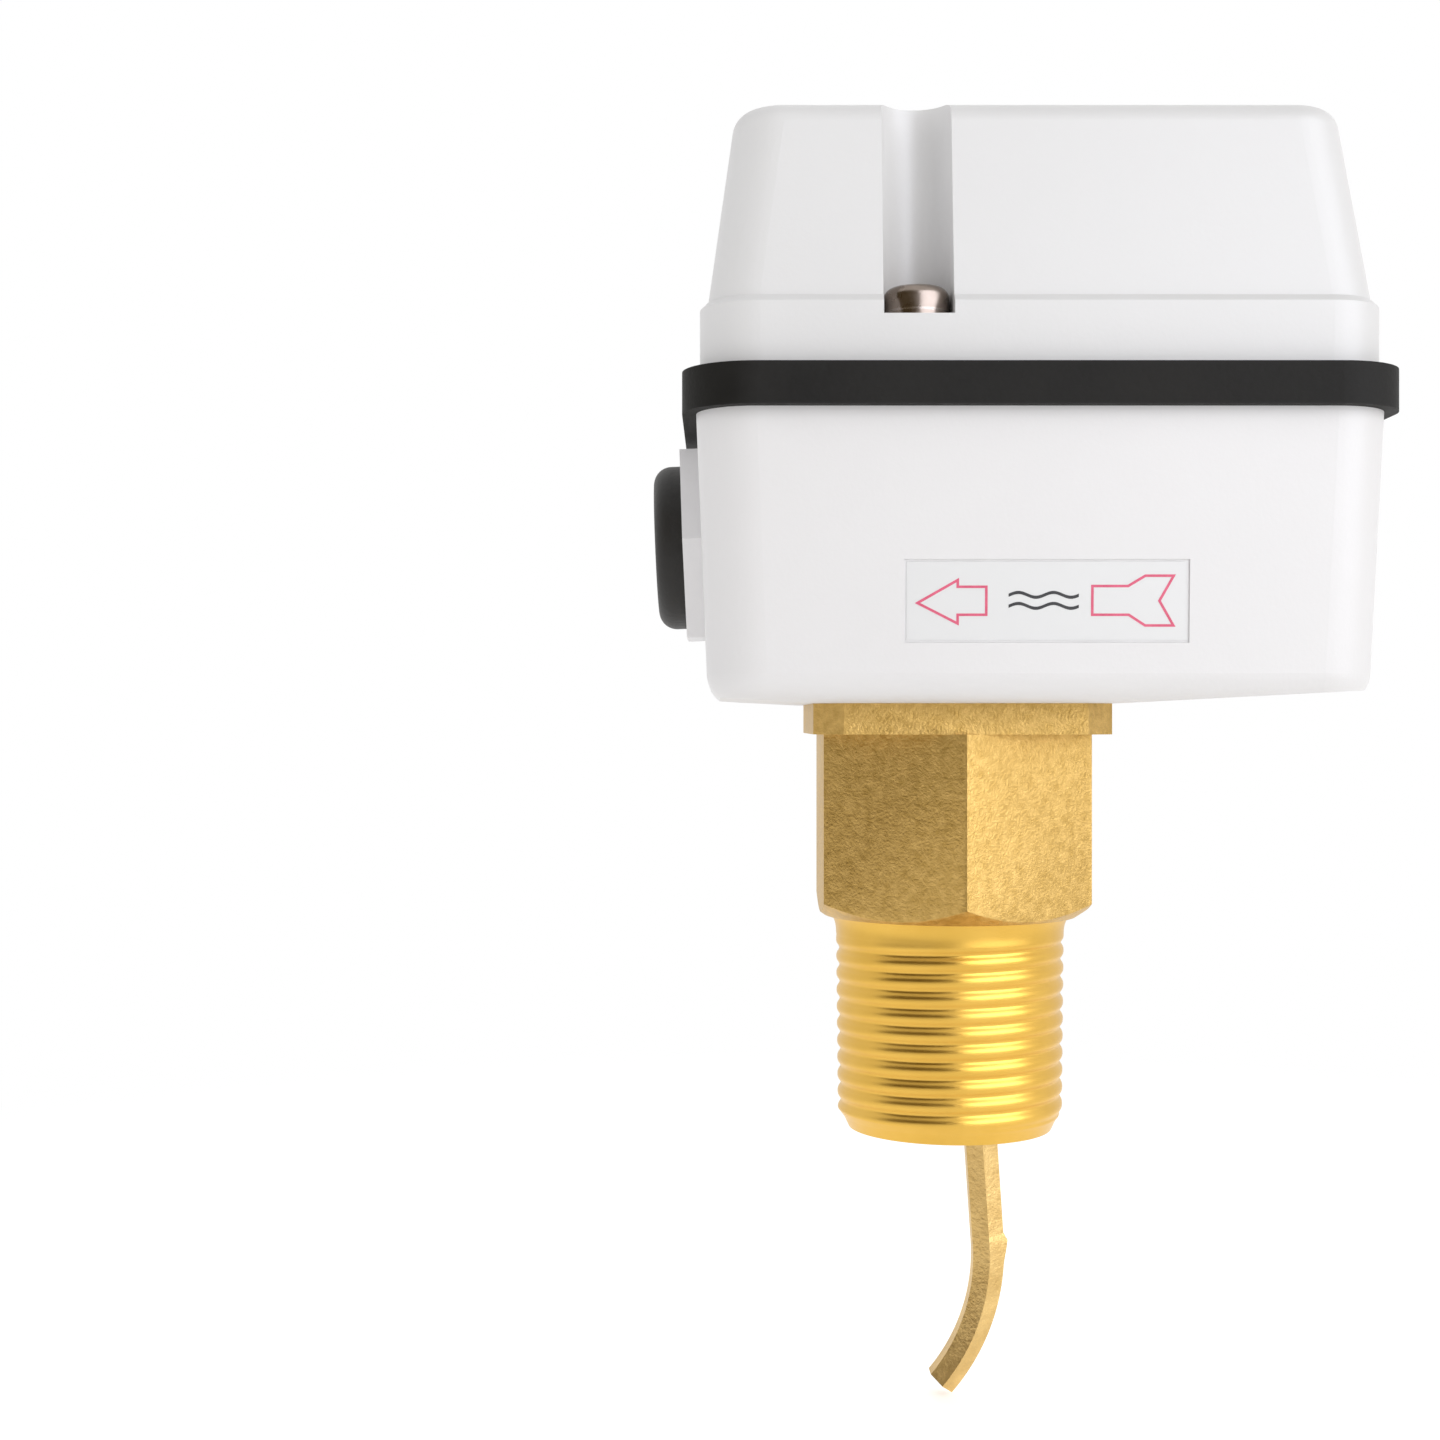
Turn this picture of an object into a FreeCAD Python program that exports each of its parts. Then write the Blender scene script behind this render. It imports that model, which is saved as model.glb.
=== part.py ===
import FreeCAD, Part
import math
import os
import Sketcher

# Paddle flow switch: a brass pipe body with a sealed lever, and a drafted plastic
# housing that holds a snap switch, a range spring and their bracket.
# Origin on the pipe axis at the lower shoulder of the hexagon. Flow runs towards -X.

os.makedirs("parts", exist_ok=True)
Vector = FreeCAD.Vector
Rotation = FreeCAD.Rotation
doc = FreeCAD.newDocument("PaddleFlowSwitch")
nodes = []

SIZES = [
    # brass body
    ("thread_radius", 16.62), ("thread_length", 29.6), ("lead_radius", 14.8), ("lead_height", 1.4),
    ("hex_width", 38.0), ("hex_height", 26.5), ("hex_chamfer", 2.4), ("hex_face_radius", 18.4),
    ("flange_width", 41.5), ("flange_thick", 4.3), ("flange_corner", 4.0),
    ("neck_radius", 12.0), ("neck_above_pin", 5.0), ("neck_bore", 8.0), ("bore_radius", 9.0),
    ("flange_screw_place", 15.2), ("flange_screw_radius", 2.0), ("flange_screw_depth", 3.6),
    ("flange_seal_thick", 0.6), ("flange_seal_radius", 14.6),
    # lever and pivot
    ("pivot_height", 36.0), ("rest_lean", 3.8), ("pin_radius", 1.5), ("run_gap", 0.04),
    ("lever_width", 4.6), ("lever_length", 84.0), ("lever_rise", 20.9), ("hub_radius", 4.2),
    ("hub_half", 5.4), ("bend_radius", 29.0), ("bend_angle", 44.3), ("tongue_thick", 4.2),
    ("tongue_half", 4.0), ("heel_height", 0.55), ("heel_length", 3.4), ("stud_radius", 2.0),
    ("stud_length", 6.6),
    # bellows
    ("bellows_height", 13.0), ("bellows_radius", 9.0), ("bellows_root", 7.6), ("bellows_wall", 0.4),
    ("bellows_waves", 5.0), ("cap_radius", 7.0), ("cap_thick", 2.0),
    # rocker
    ("arm_thick", 2.0), ("arm_half", 4.5), ("spring_arm", 14.0), ("striker_arm", 18.0),
    ("nut_width", 7.0), ("nut_thick", 3.2), ("small_nut_width", 5.5),
    ("small_nut_thick", 2.2), ("striker_radius", 1.5), ("striker_below", 1.9), ("striker_above", 4.2),
    ("seat_radius", 4.6), ("seat_thick", 1.0), ("spigot_radius", 1.6), ("spigot_height", 1.4),
    # housing
    ("housing_centre", 9.1), ("housing_half", 46.0), ("housing_depth", 34.0), ("wall", 2.8),
    ("base_bottom", 30.8), ("base_top", 69.5), ("base_draft", 2.3), ("floor_top", 34.6),
    ("floor_slope", 3.0), ("floor_seat", 21.0), ("corner_radius", 8.0), ("bottom_round", 4.0),
    ("tongue_wide", 1.2), ("tongue_high", 1.8), ("fit_gap", 0.1), ("clear_gap", 0.3),
    ("gasket_high", 5.6), ("gasket_proud", 1.9),
    # cover
    ("cover_half", 45.5), ("cover_depth", 33.5), ("band_high", 9.2), ("band_step", 1.1),
    ("cover_top", 111.0), ("cover_draft", 7.9), ("cover_round", 3.2), ("cover_wall", 2.3),
    ("channel_offset", 16.7), ("channel_half", 4.65), ("channel_wall", 2.2), ("screw_line", 28.5),
    ("channel_floor", 81.7), ("bay_round", 5.0), ("cover_screw_radius", 2.0), ("cover_head_radius", 4.4),
    ("cover_head_high", 3.4), ("cover_screw_length", 19.0), ("insert_radius", 3.0),
    ("insert_length", 9.0), ("washer_thick", 0.8),
    # label
    ("label_wide", 37.4), ("label_high", 10.9), ("label_height", 44.1), ("label_deep", 0.6),
    ("label_thick", 0.4),
    # cable entry
    ("entry_height", 53.9), ("entry_hex", 27.0), ("entry_flange", 2.7), ("entry_shank", 8.0),
    ("entry_bore", 5.6), ("entry_shank_length", 8.0), ("dome_radius", 11.9), ("dome_thick", 4.0),
    ("dome_round", 2.6), ("cable_hole", 3.5), ("locknut_width", 21.0), ("locknut_thick", 3.0),
    # bracket
    ("plate_thick", 1.5), ("plate_left", -26.0), ("plate_above_pin", 45.5),
    ("plate_top", "=pivot_height + plate_above_pin"), ("window_half", 12.5), ("window_above_pin", 28.0),
    ("window_top", "=pivot_height + window_above_pin"), ("foot_reach", 10.0), ("boss_rise", 2.4),
    ("boss_radius", 3.6), ("bracket_screw_radius", 1.5), ("bracket_screw_grip", 4.2),
    ("left_foot", -22.0), ("right_foot", 37.5), ("foot_half", 11.5), ("left_foot_end", -17.0),
    ("window_foot", 6.0), ("shelf_half", 9.0), ("shelf_slope", 11.0), ("shelf_reach", 11.0),
    ("plate_right_above_pin", 26.0), ("plate_right_top", "=pivot_height + plate_right_above_pin"),
    # snap switch
    ("switch_half_depth", 5.2), ("switch_left", 20.5), ("switch_length", 28.0), ("switch_above_pin", 16.4),
    ("switch_top", "=pivot_height + switch_above_pin"), ("switch_high", 16.0), ("switch_round", 0.8),
    ("switch_screw_radius", 1.45), ("switch_screw_drop", 3.0), ("switch_screw_inset", 2.9),
    ("switch_screw_lift", 9.0), ("leaf_pivot", 38.0), ("leaf_rise", 1.95), ("eye_radius", 1.3),
    ("leaf_thick", 0.6), ("leaf_half", 2.2), ("leaf_tip", 15.6), ("leaf_above_pin", 19.75),
    ("leaf_top", "=pivot_height + leaf_above_pin"), ("plunger_place", 27.0), ("plunger_radius", 1.4),
    ("plunger_below", 3.0), ("plunger_stroke", 1.6), ("leaf_pin_radius", 0.6), ("ear_half", 1.8),
    ("ear_thick", 1.2), ("terminal_first", 24.5), ("terminal_pitch", 10.0), ("terminal_above_pin", 3.4),
    ("terminal_height", "=pivot_height + terminal_above_pin"), ("terminal_half", 3.0),
    ("terminal_reach", 7.0), ("terminal_thick", 0.8),
    # range spring
    ("range_place", -15.5), ("range_screw_radius", 2.0), ("range_screw_above_pin", 31.0),
    ("range_screw_bottom", "=pivot_height + range_screw_above_pin"), ("range_lead", 0.8),
    ("range_head_radius", 5.0), ("range_head_high", 3.5), ("range_nut_above_pin", 35.5),
    ("range_nut_bottom", "=pivot_height + range_nut_above_pin"), ("range_nut_high", 4.0),
    ("range_nut_half", 4.9), ("spring_above_pin", 23.5),
    ("spring_bottom", "=pivot_height + spring_above_pin"), ("spring_radius", 3.4), ("spring_wire", 0.9),
    ("spring_turns", 5.0),
    # common screws
    ("earth_place", -19.5), ("earth_height", 46.0), ("pan_radius", 3.6), ("pan_high", 2.0),
    ("small_pan_radius", 2.7), ("small_pan_high", 1.8),
]

sheet = doc.addObject("Spreadsheet::Sheet", "Sizes")
for row, (alias, number) in enumerate(SIZES, start=1):
    sheet.set("A%d" % row, alias)
    sheet.set("B%d" % row, str(number))
    sheet.setAlias("B%d" % row, alias)
doc.recompute()


def bound(formula):
    """The formula as an expression that reads the sheet."""
    text = str(formula)
    for alias in sorted((alias for alias, number in SIZES), key=len, reverse=True):
        text = replace_word(text, alias)
    return text


def replace_word(text, alias):
    out, place = "", 0
    while True:
        found = text.find(alias, place)
        if found < 0:
            return out + text[place:]
        before = text[found - 1] if found else " "
        after = text[found + len(alias)] if found + len(alias) < len(text) else " "
        whole = not (before.isalnum() or before in "_.") and not (after.isalnum() or after == "_")
        out += text[place:found] + ("Sizes." + alias if whole else alias)
        place = found + len(alias)


def value(formula):
    return float(sheet.evalExpression(bound(formula).replace("Sizes.", "")))


def body_of(name):
    body = doc.addObject("PartDesign::Body", name)
    body.Label = name
    nodes.append(body)
    return body


def sketch_on(body, plane, offset="0", across="0", tilt=None):
    """A sketch on one of the body's own origin planes, moved along its normal and across."""
    sketch = body.newObject("Sketcher::SketchObject", "sketch")
    roles = {feature.Role: feature for feature in body.Origin.OriginFeatures}
    sketch.AttachmentSupport = [(roles[plane + "_Plane"], "")]
    sketch.MapMode = "FlatFace"
    if tilt:
        axis, angle = tilt
        sketch.AttachmentOffset = FreeCAD.Placement(Vector(), Rotation(axis, value(angle)))
        sketch.setExpression("AttachmentOffset.Rotation.Angle", bound(angle))
    sketch.setExpression("AttachmentOffset.Base.z", bound(offset))
    sketch.setExpression("AttachmentOffset.Base.x", bound(across))
    return sketch


def hold(sketch, kind, geometry, point, formula):
    """Ties one coordinate of a point, or a radius, to a formula of the sheet."""
    if kind == "Radius":
        index = sketch.addConstraint(Sketcher.Constraint(kind, geometry, value(formula)))
    else:
        index = sketch.addConstraint(
            Sketcher.Constraint(kind, -1, 1, geometry, point, value(formula)))
    sketch.setExpression("Constraints[%d]" % index, bound(formula))


def outline(sketch, corners, arcs=None):
    """A closed outline. An arc runs from its corner to the next about (x, y, turn, tied)."""
    arcs = arcs or {}
    first = sketch.GeometryCount
    count = len(corners)
    spots = [Vector(value(x), value(y), 0) for x, y in corners]
    ends = []
    for place in range(count):
        start, end = spots[place], spots[(place + 1) % count]
        if place in arcs:
            ends.append(add_arc(sketch, start, end, arcs[place]))
        else:
            sketch.addGeometry(Part.LineSegment(start, end), False)
            ends.append((1, 2))
    for place in range(count):
        following = (place + 1) % count
        sketch.addConstraint(Sketcher.Constraint(
            "Coincident", first + place, ends[place][1], first + following, ends[following][0]))
    for place, (x, y) in enumerate(corners):
        hold(sketch, "DistanceX", first + place, ends[place][0], x)
        hold(sketch, "DistanceY", first + place, ends[place][0], y)
    for place, (x, y, turn, tied) in arcs.items():
        hold(sketch, "DistanceX" if tied == "x" else "DistanceY", first + place, 3, x if tied == "x" else y)


def add_arc(sketch, start, end, arc):
    """Adds an arc, counter-clockwise for a turn of 1, and tells which ends meet start and end."""
    x, y, turn, tied = arc
    centre = Vector(value(x), value(y), 0)
    low, high = (start, end) if turn > 0 else (end, start)
    from_angle = math.atan2(low.y - centre.y, low.x - centre.x)
    to_angle = math.atan2(high.y - centre.y, high.x - centre.x)
    if to_angle <= from_angle:
        to_angle += 2 * math.pi
    circle = Part.Circle(centre, Vector(0, 0, 1), (start - centre).Length)
    sketch.addGeometry(Part.ArcOfCircle(circle, from_angle, to_angle), False)
    return (1, 2) if turn > 0 else (2, 1)


def ring(sketch, x, y, radius):
    index = sketch.addGeometry(Part.Circle(Vector(value(x), value(y), 0), Vector(0, 0, 1), value(radius)))
    hold(sketch, "DistanceX", index, 3, x)
    hold(sketch, "DistanceY", index, 3, y)
    hold(sketch, "Radius", index, None, radius)


def rectangle(sketch, left, right, low, high):
    outline(sketch, [(left, low), (right, low), (right, high), (left, high)])


def hexagon(sketch, x, y, width, flats_on_x=True):
    """Six corners about (x, y), with flats facing +x and -x, or +y and -y."""
    half = "(%s) / 2" % width
    long, short = "(%s) / sqrt(3)" % width, "(%s) / sqrt(12)" % width
    spots = [("0", long), (half, short), (half, "-" + short), ("0", "-" + long),
             ("-" + half, "-" + short), ("-" + half, short)]
    if not flats_on_x:
        spots = [(v, u) for u, v in spots]
    outline(sketch, [("%s + %s" % (x, u), "%s + %s" % (y, v)) for u, v in spots])


def sound(feature):
    if "Invalid" in feature.State or feature.Shape.isNull():
        raise RuntimeError("%s did not build" % feature.Name)


def pad(body, sketch, length, reverse=False, middle=False, taper=None, cut=False):
    kind = "PartDesign::Pocket" if cut else "PartDesign::Pad"
    feature = body.newObject(kind, "pocket" if cut else "pad")
    feature.Profile = sketch
    feature.setExpression("Length", bound(length))
    feature.Reversed = reverse
    if middle:
        feature.SideType = "Symmetric"
    if taper:
        feature.setExpression("TaperAngle", bound(taper))
    doc.recompute()
    sound(feature)
    return feature


def pocket(body, sketch, length, reverse=False, middle=False, taper=None):
    before = body.Shape.Volume
    feature = pad(body, sketch, length, reverse, middle, taper, cut=True)
    if not feature.Shape.Volume < before - 1e-6:
        raise RuntimeError("a pocket of %s cuts nothing" % body.Label)
    return feature


def revolve(body, sketch, axis="V_Axis", cut=False):
    before = 0.0 if not cut else body.Shape.Volume
    feature = body.newObject("PartDesign::Groove" if cut else "PartDesign::Revolution", "turned")
    feature.Profile = sketch
    feature.ReferenceAxis = (sketch, [axis])
    feature.Angle = 360.0
    doc.recompute()
    if cut and not feature.Shape.Volume < before - 1e-6:
        raise RuntimeError("a groove of %s cuts nothing" % body.Label)
    return feature


def edges_of(shape, wanted):
    return ["Edge%d" % number for number, edge in enumerate(shape.Edges, start=1) if wanted(edge)]


def round_edges(body, radius, wanted, kind="PartDesign::Fillet"):
    base = body.Tip
    names = edges_of(base.Shape, wanted)
    if not names:
        raise RuntimeError("no edge to round on %s" % body.Label)
    feature = body.newObject(kind, "rounding")
    feature.Base = (base, names)
    feature.setExpression("Radius" if kind.endswith("Fillet") else "Size", bound(radius))
    doc.recompute()
    sound(feature)
    return feature


def at_height(edge, height, spread=0.01):
    box = edge.BoundBox
    return abs(box.ZMin - height) < spread and abs(box.ZMax - height) < spread


def lean(body):
    """Turns a piece of the lever about the pivot to its place at rest."""
    body.Placement = FreeCAD.Placement(Vector(), Rotation(Vector(0, -1, 0), value("rest_lean")))
    body.setExpression("Placement.Base.z", bound("pivot_height"))
    body.setExpression("Placement.Rotation.Angle", bound("rest_lean * 1 deg"))


def pan_screw(body, x, y, seat, radius, head_radius, head_high, length):
    """A domed head with its shank below, turned about a vertical line at (x, y)."""
    sketch = sketch_on(body, "XY", seat)
    ring(sketch, x, y, head_radius)
    pad(body, sketch, head_high)
    height = value(seat) + value(head_high)
    round_edges(body, "(%s) * 0.45" % head_high, lambda edge: at_height(edge, height)
                and abs(edge.CenterOfMass.x - value(x)) < 0.01 and abs(edge.CenterOfMass.y - value(y)) < 0.01)
    sketch = sketch_on(body, "XY", seat)
    ring(sketch, x, y, radius)
    pad(body, sketch, length, reverse=True)


def group_of(name, members):
    """Like pieces that share one node, kept as separate solids."""
    group = doc.addObject("Part::Compound", name)
    group.Label = name
    group.Links = members
    nodes.append(group)
    return group


# Brass body: hexagon, seat flange, neck with the pivot and the pipe thread's cylinder.
FLANGE_TOP = "hex_height + flange_thick"
NECK_TOP = "pivot_height + neck_above_pin"
THREAD_END = "-(thread_length + lead_height)"

brass = body_of("brass_body")
sketch = sketch_on(brass, "XY")
hexagon(sketch, "0", "0", "hex_width")
pad(brass, sketch, "hex_height")
sketch = sketch_on(brass, "XZ")
CHAMFER_RISE = "hex_chamfer / (hex_width / sqrt(3) - hex_face_radius)"
outline(sketch, [("hex_face_radius", "0"), ("hex_width", "0"),
                 ("hex_width", "(hex_width - hex_face_radius) * %s" % CHAMFER_RISE)])
revolve(brass, sketch, cut=True)
sketch = sketch_on(brass, "XY", "hex_height")
half, cut_half = "flange_width / 2", "(flange_width / 2 - flange_corner)"
outline(sketch, [(half, "-" + cut_half), (half, cut_half), (cut_half, half), ("-" + cut_half, half),
                 ("-" + half, cut_half), ("-" + half, "-" + cut_half), ("-" + cut_half, "-" + half),
                 (cut_half, "-" + half)])
pad(brass, sketch, "flange_thick")
sketch = sketch_on(brass, "XZ")
outline(sketch, [("0", THREAD_END), ("lead_radius", THREAD_END), ("thread_radius", "-thread_length"),
                 ("thread_radius", "1"), ("neck_radius", "2"), ("neck_radius", NECK_TOP), ("0", NECK_TOP)])
revolve(brass, sketch)
sketch = sketch_on(brass, "XY", NECK_TOP)
ring(sketch, "0", "0", "neck_bore")
pocket(brass, sketch, "%s - (%s)" % (NECK_TOP, THREAD_END))
sketch = sketch_on(brass, "XY", THREAD_END)
ring(sketch, "0", "0", "bore_radius")
pocket(brass, sketch, "%s - (%s)" % ("hex_height", THREAD_END), reverse=True)
sketch = sketch_on(brass, "XZ")
ring(sketch, "0", "pivot_height", "pin_radius + run_gap / 4")
pocket(brass, sketch, "3 * neck_radius", middle=True)
sketch = sketch_on(brass, "XY", FLANGE_TOP)
for side_x in ("", "-"):
    for side_y in ("", "-"):
        ring(sketch, side_x + "flange_screw_place", side_y + "flange_screw_place", "flange_screw_radius")
pocket(brass, sketch, "flange_screw_depth")
sketch = sketch_on(brass, "XY", FLANGE_TOP)
ring(sketch, "0", "0", "flange_seal_radius")
ring(sketch, "0", "0", "neck_radius")
pocket(brass, sketch, "flange_seal_thick")

# Flat seal between the flange and the housing, set in the flange's groove.
seal = body_of("flange_seal")
sketch = sketch_on(seal, "XY", FLANGE_TOP)
ring(sketch, "0", "0", "flange_seal_radius")
ring(sketch, "0", "0", "neck_radius + clear_gap")
pad(seal, sketch, "flange_seal_thick", reverse=True)

# Lever: a hexagonal brass bar with the pivot eye, a threaded stub above the bellows
# and a curved tongue that stands in the flow. It is drawn upright about its pivot.
lever = body_of("paddle_lever")
sketch = sketch_on(lever, "XY", "lever_rise")
hexagon(sketch, "0", "0", "lever_width")
pad(lever, sketch, "lever_rise + lever_length", reverse=True)
sketch = sketch_on(lever, "XZ")
ring(sketch, "0", "0", "hub_radius")
pad(lever, sketch, "2 * hub_half", middle=True)
sketch = sketch_on(lever, "XY", "lever_rise")
ring(sketch, "0", "0", "stud_radius")
pad(lever, sketch, "stud_length")
sketch = sketch_on(lever, "XZ")
outline(sketch, [("lever_width / 2 - 0.3", "heel_length - lever_length"),
                 ("lever_width / 2 - 0.3", "-lever_length - heel_length"),
                 ("tongue_thick / 2", "-lever_length - heel_length"),
                 ("lever_width / 2 + heel_height", "-lever_length"),
                 ("lever_width / 2 + heel_height", "heel_length / 3 - lever_length")])
pad(lever, sketch, "tongue_half", middle=True)
section = sketch_on(lever, "XY", "-lever_length")
thin, flat = "tongue_thick / 2", "tongue_half / 2"
outline(section, [("0", "-tongue_half"), (thin, "-" + flat), (thin, flat), ("0", "tongue_half"),
                  ("-" + thin, flat), ("-" + thin, "-" + flat)])
bend = sketch_on(lever, "XZ")
end_x = "-bend_radius * (1 - cos(bend_angle * 1 deg))"
end_z = "-lever_length - bend_radius * sin(bend_angle * 1 deg)"
low_end, top_end = add_arc(bend, Vector(value(end_x), value(end_z), 0), Vector(0, -value("lever_length"), 0),
                           ("-bend_radius", "-lever_length", 1, "x"))
hold(bend, "DistanceX", 0, top_end, "0")
hold(bend, "DistanceY", 0, top_end, "-lever_length")
hold(bend, "DistanceX", 0, low_end, end_x)
hold(bend, "DistanceY", 0, low_end, end_z)
hold(bend, "DistanceX", 0, 3, "-bend_radius")
tongue = lever.newObject("PartDesign::AdditivePipe", "tongue")
tongue.Profile = section
tongue.Spine = bend
doc.recompute()
sketch = sketch_on(lever, "XZ")
ring(sketch, "0", "0", "pin_radius + run_gap")
pocket(lever, sketch, "4 * hub_half", middle=True)
lean(lever)

# Pivot pin: hardened steel, held in the neck and free in the lever's eye.
pin = body_of("pivot_pin")
sketch = sketch_on(pin, "XZ")
ring(sketch, "0", "pivot_height", "pin_radius")
pad(pin, sketch, "2 * (neck_radius - clear_gap)", middle=True)

# Bellows: a thin corrugated sleeve round the lever, seated on the neck.
bellows = body_of("bellows")
sketch = sketch_on(bellows, "XZ")
waves = int(value("bellows_waves"))
step = "(bellows_height / (2 * bellows_waves + 2))"
outer = [("bellows_radius", NECK_TOP)]
for wave in range(waves):
    for part, radius in ((2 * wave + 1, "bellows_radius"), (2 * wave + 2, "bellows_root")):
        outer.append((radius, "%s + %d * %s" % (NECK_TOP, part, step)))
outer.append(("bellows_root", "%s + bellows_height" % NECK_TOP))
inner = [("(%s) - bellows_wall" % radius, height) for radius, height in reversed(outer)]
outline(sketch, outer + inner)
revolve(bellows, sketch)

# Bellows cap: the turned disc that closes the sleeve round the lever.
cap = body_of("bellows_cap")
sketch = sketch_on(cap, "XY", "lever_rise")
ring(sketch, "0", "0", "cap_radius")
hexagon(sketch, "0", "0", "lever_width + 2 * run_gap")
pad(cap, sketch, "cap_thick", reverse=True)
rim = value("lever_rise")
round_edges(cap, "cap_thick / 4", lambda edge: at_height(edge, rim)
            and edge.Length > 6 * value("cap_radius"))
lean(cap)

# Rocker: a steel strip with rounded ends on the lever's shoulder.
ARM_TOP = "lever_rise + arm_thick"
rocker = body_of("rocker_arm")
sketch = sketch_on(rocker, "XY", "lever_rise")
outline(sketch, [("-spring_arm", "-arm_half"), ("striker_arm", "-arm_half"),
                 ("striker_arm", "arm_half"), ("-spring_arm", "arm_half")],
        {1: ("striker_arm", "0", 1, "x"), 3: ("-spring_arm", "0", 1, "x")})
ring(sketch, "0", "0", "stud_radius + run_gap")
ring(sketch, "striker_arm", "0", "striker_radius + run_gap")
pad(rocker, sketch, "arm_thick")
lean(rocker)

rocker_nut = body_of("rocker_nut")
sketch = sketch_on(rocker_nut, "XY", ARM_TOP)
hexagon(sketch, "0", "0", "nut_width")
ring(sketch, "0", "0", "stud_radius + run_gap")
pad(rocker_nut, sketch, "nut_thick")
lean(rocker_nut)

# Striker: a slotted screw with a round nose that presses the switch leaf, and its lock nut.
striker = body_of("striker_screw")
sketch = sketch_on(striker, "XZ", across="striker_arm")
NOSE = "lever_rise - striker_below"
outline(sketch, [("0", NOSE), ("striker_radius", "%s + striker_radius" % NOSE),
                 ("striker_radius", "%s + striker_above" % ARM_TOP),
                 ("small_pan_radius", "%s + striker_above" % ARM_TOP),
                 ("small_pan_radius", "%s + striker_above + small_pan_high" % ARM_TOP),
                 ("0", "%s + striker_above + small_pan_high" % ARM_TOP)],
        {0: ("0", "%s + striker_radius" % NOSE, 1, "x")})
revolve(striker, sketch)
lean(striker)

striker_nut = body_of("striker_lock_nut")
sketch = sketch_on(striker_nut, "XY", ARM_TOP)
hexagon(sketch, "striker_arm", "0", "small_nut_width")
ring(sketch, "striker_arm", "0", "striker_radius + run_gap")
pad(striker_nut, sketch, "small_nut_thick")
lean(striker_nut)

# Spring seat: a turned disc with a spigot that keeps the range spring in place.
seat = body_of("spring_seat")
sketch = sketch_on(seat, "XZ", across="-spring_arm")
outline(sketch, [("0", ARM_TOP), ("seat_radius", ARM_TOP), ("seat_radius", "%s + seat_thick" % ARM_TOP),
                 ("spigot_radius", "%s + seat_thick" % ARM_TOP),
                 ("spigot_radius * 0.7", "%s + seat_thick + spigot_height" % ARM_TOP),
                 ("0", "%s + seat_thick + spigot_height" % ARM_TOP)])
revolve(seat, sketch)
lean(seat)

# Housing: one drafted box split at the gasket. Base and cover share the inner outline,
# which turns in round the two cover screws.
LEFT_SCREW = "(housing_centre - channel_offset)"
RIGHT_SCREW = "(housing_centre + channel_offset)"
BOSS = "(channel_half + channel_wall)"
IN_X = "(housing_half - wall)"
IN_Y = "(housing_depth - wall)"
COVER_BOTTOM = "(base_top + gasket_high)"


def inner_outline(sketch, ease="0"):
    """The cavity's outline with a bay for each cover screw, its walls drawn in by ease."""
    ease = "(%s)" % ease
    west, east = "housing_centre - %s + %s" % (IN_X, ease), "housing_centre + %s - %s" % (IN_X, ease)
    south, north = "-%s + %s" % (IN_Y, ease), "%s - %s" % (IN_Y, ease)
    bay, tip = BOSS, "(screw_line - %s)" % BOSS
    left_low, left_high = "%s - %s" % (LEFT_SCREW, bay), "%s + %s" % (LEFT_SCREW, bay)
    right_low, right_high = "%s - %s" % (RIGHT_SCREW, bay), "%s + %s" % (RIGHT_SCREW, bay)
    outline(sketch, [(west, south), (left_low, south), (left_low, "-" + tip), (left_high, "-" + tip),
                     (left_high, south), (east, south), (east, north), (right_high, north),
                     (right_high, tip), (right_low, tip), (right_low, north), (west, north)])


def cavity(body, mouth, mouth_ease, end, end_ease):
    """Hollows a shell between two heights, narrowing from its mouth to its end."""
    before = body.Shape.Volume
    outlines = []
    for height, ease in ((mouth, mouth_ease), (end, end_ease)):
        sketch = sketch_on(body, "XY", height)
        inner_outline(sketch, ease)
        outlines.append(sketch)
    doc.recompute()
    hollow = body.newObject("PartDesign::SubtractiveLoft", "hollow")
    hollow.Profile = outlines[0]
    hollow.Sections = outlines[1:]
    hollow.Ruled = True
    doc.recompute()
    if not hollow.Shape.Volume < before - 1e-6:
        raise RuntimeError("a hollow of %s cuts nothing" % body.Label)


def round_bays(body, low, high):
    """Rounds the two inner corners of each screw bay."""
    def wanted(edge):
        box, middle = edge.BoundBox, edge.CenterOfMass
        tall = box.ZMax - box.ZMin > 0.8 * (value(high) - value(low))
        near = [abs(abs(middle.x - value(screw)) - value(BOSS)) < 3.5 and side * middle.y > 0
                for screw, side in ((LEFT_SCREW, -1), (RIGHT_SCREW, 1))]
        return tall and any(near) and abs(abs(middle.y) - value("screw_line") + value(BOSS)) < 4
    round_edges(body, "bay_round", wanted)


def corner_edges(half_x, half_y, low, high):
    """Tells the four upright edges of a drafted box between two heights."""
    def wanted(edge):
        box, middle = edge.BoundBox, edge.CenterOfMass
        near_x = abs(abs(middle.x - value("housing_centre")) - value(half_x)) < 4.5
        near_y = abs(abs(middle.y) - value(half_y)) < 4.5
        between = value(low) - 1 < box.ZMin and box.ZMax < value(high) + 1
        return near_x and near_y and between and box.ZMax - box.ZMin > 0.8 * (value(high) - value(low))
    return wanted


def box_sketch(body, height, half_x, half_y):
    sketch = sketch_on(body, "XY", height)
    rectangle(sketch, "housing_centre - %s" % half_x, "housing_centre + %s" % half_x,
              "-%s" % half_y, half_y)
    return sketch


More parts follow.
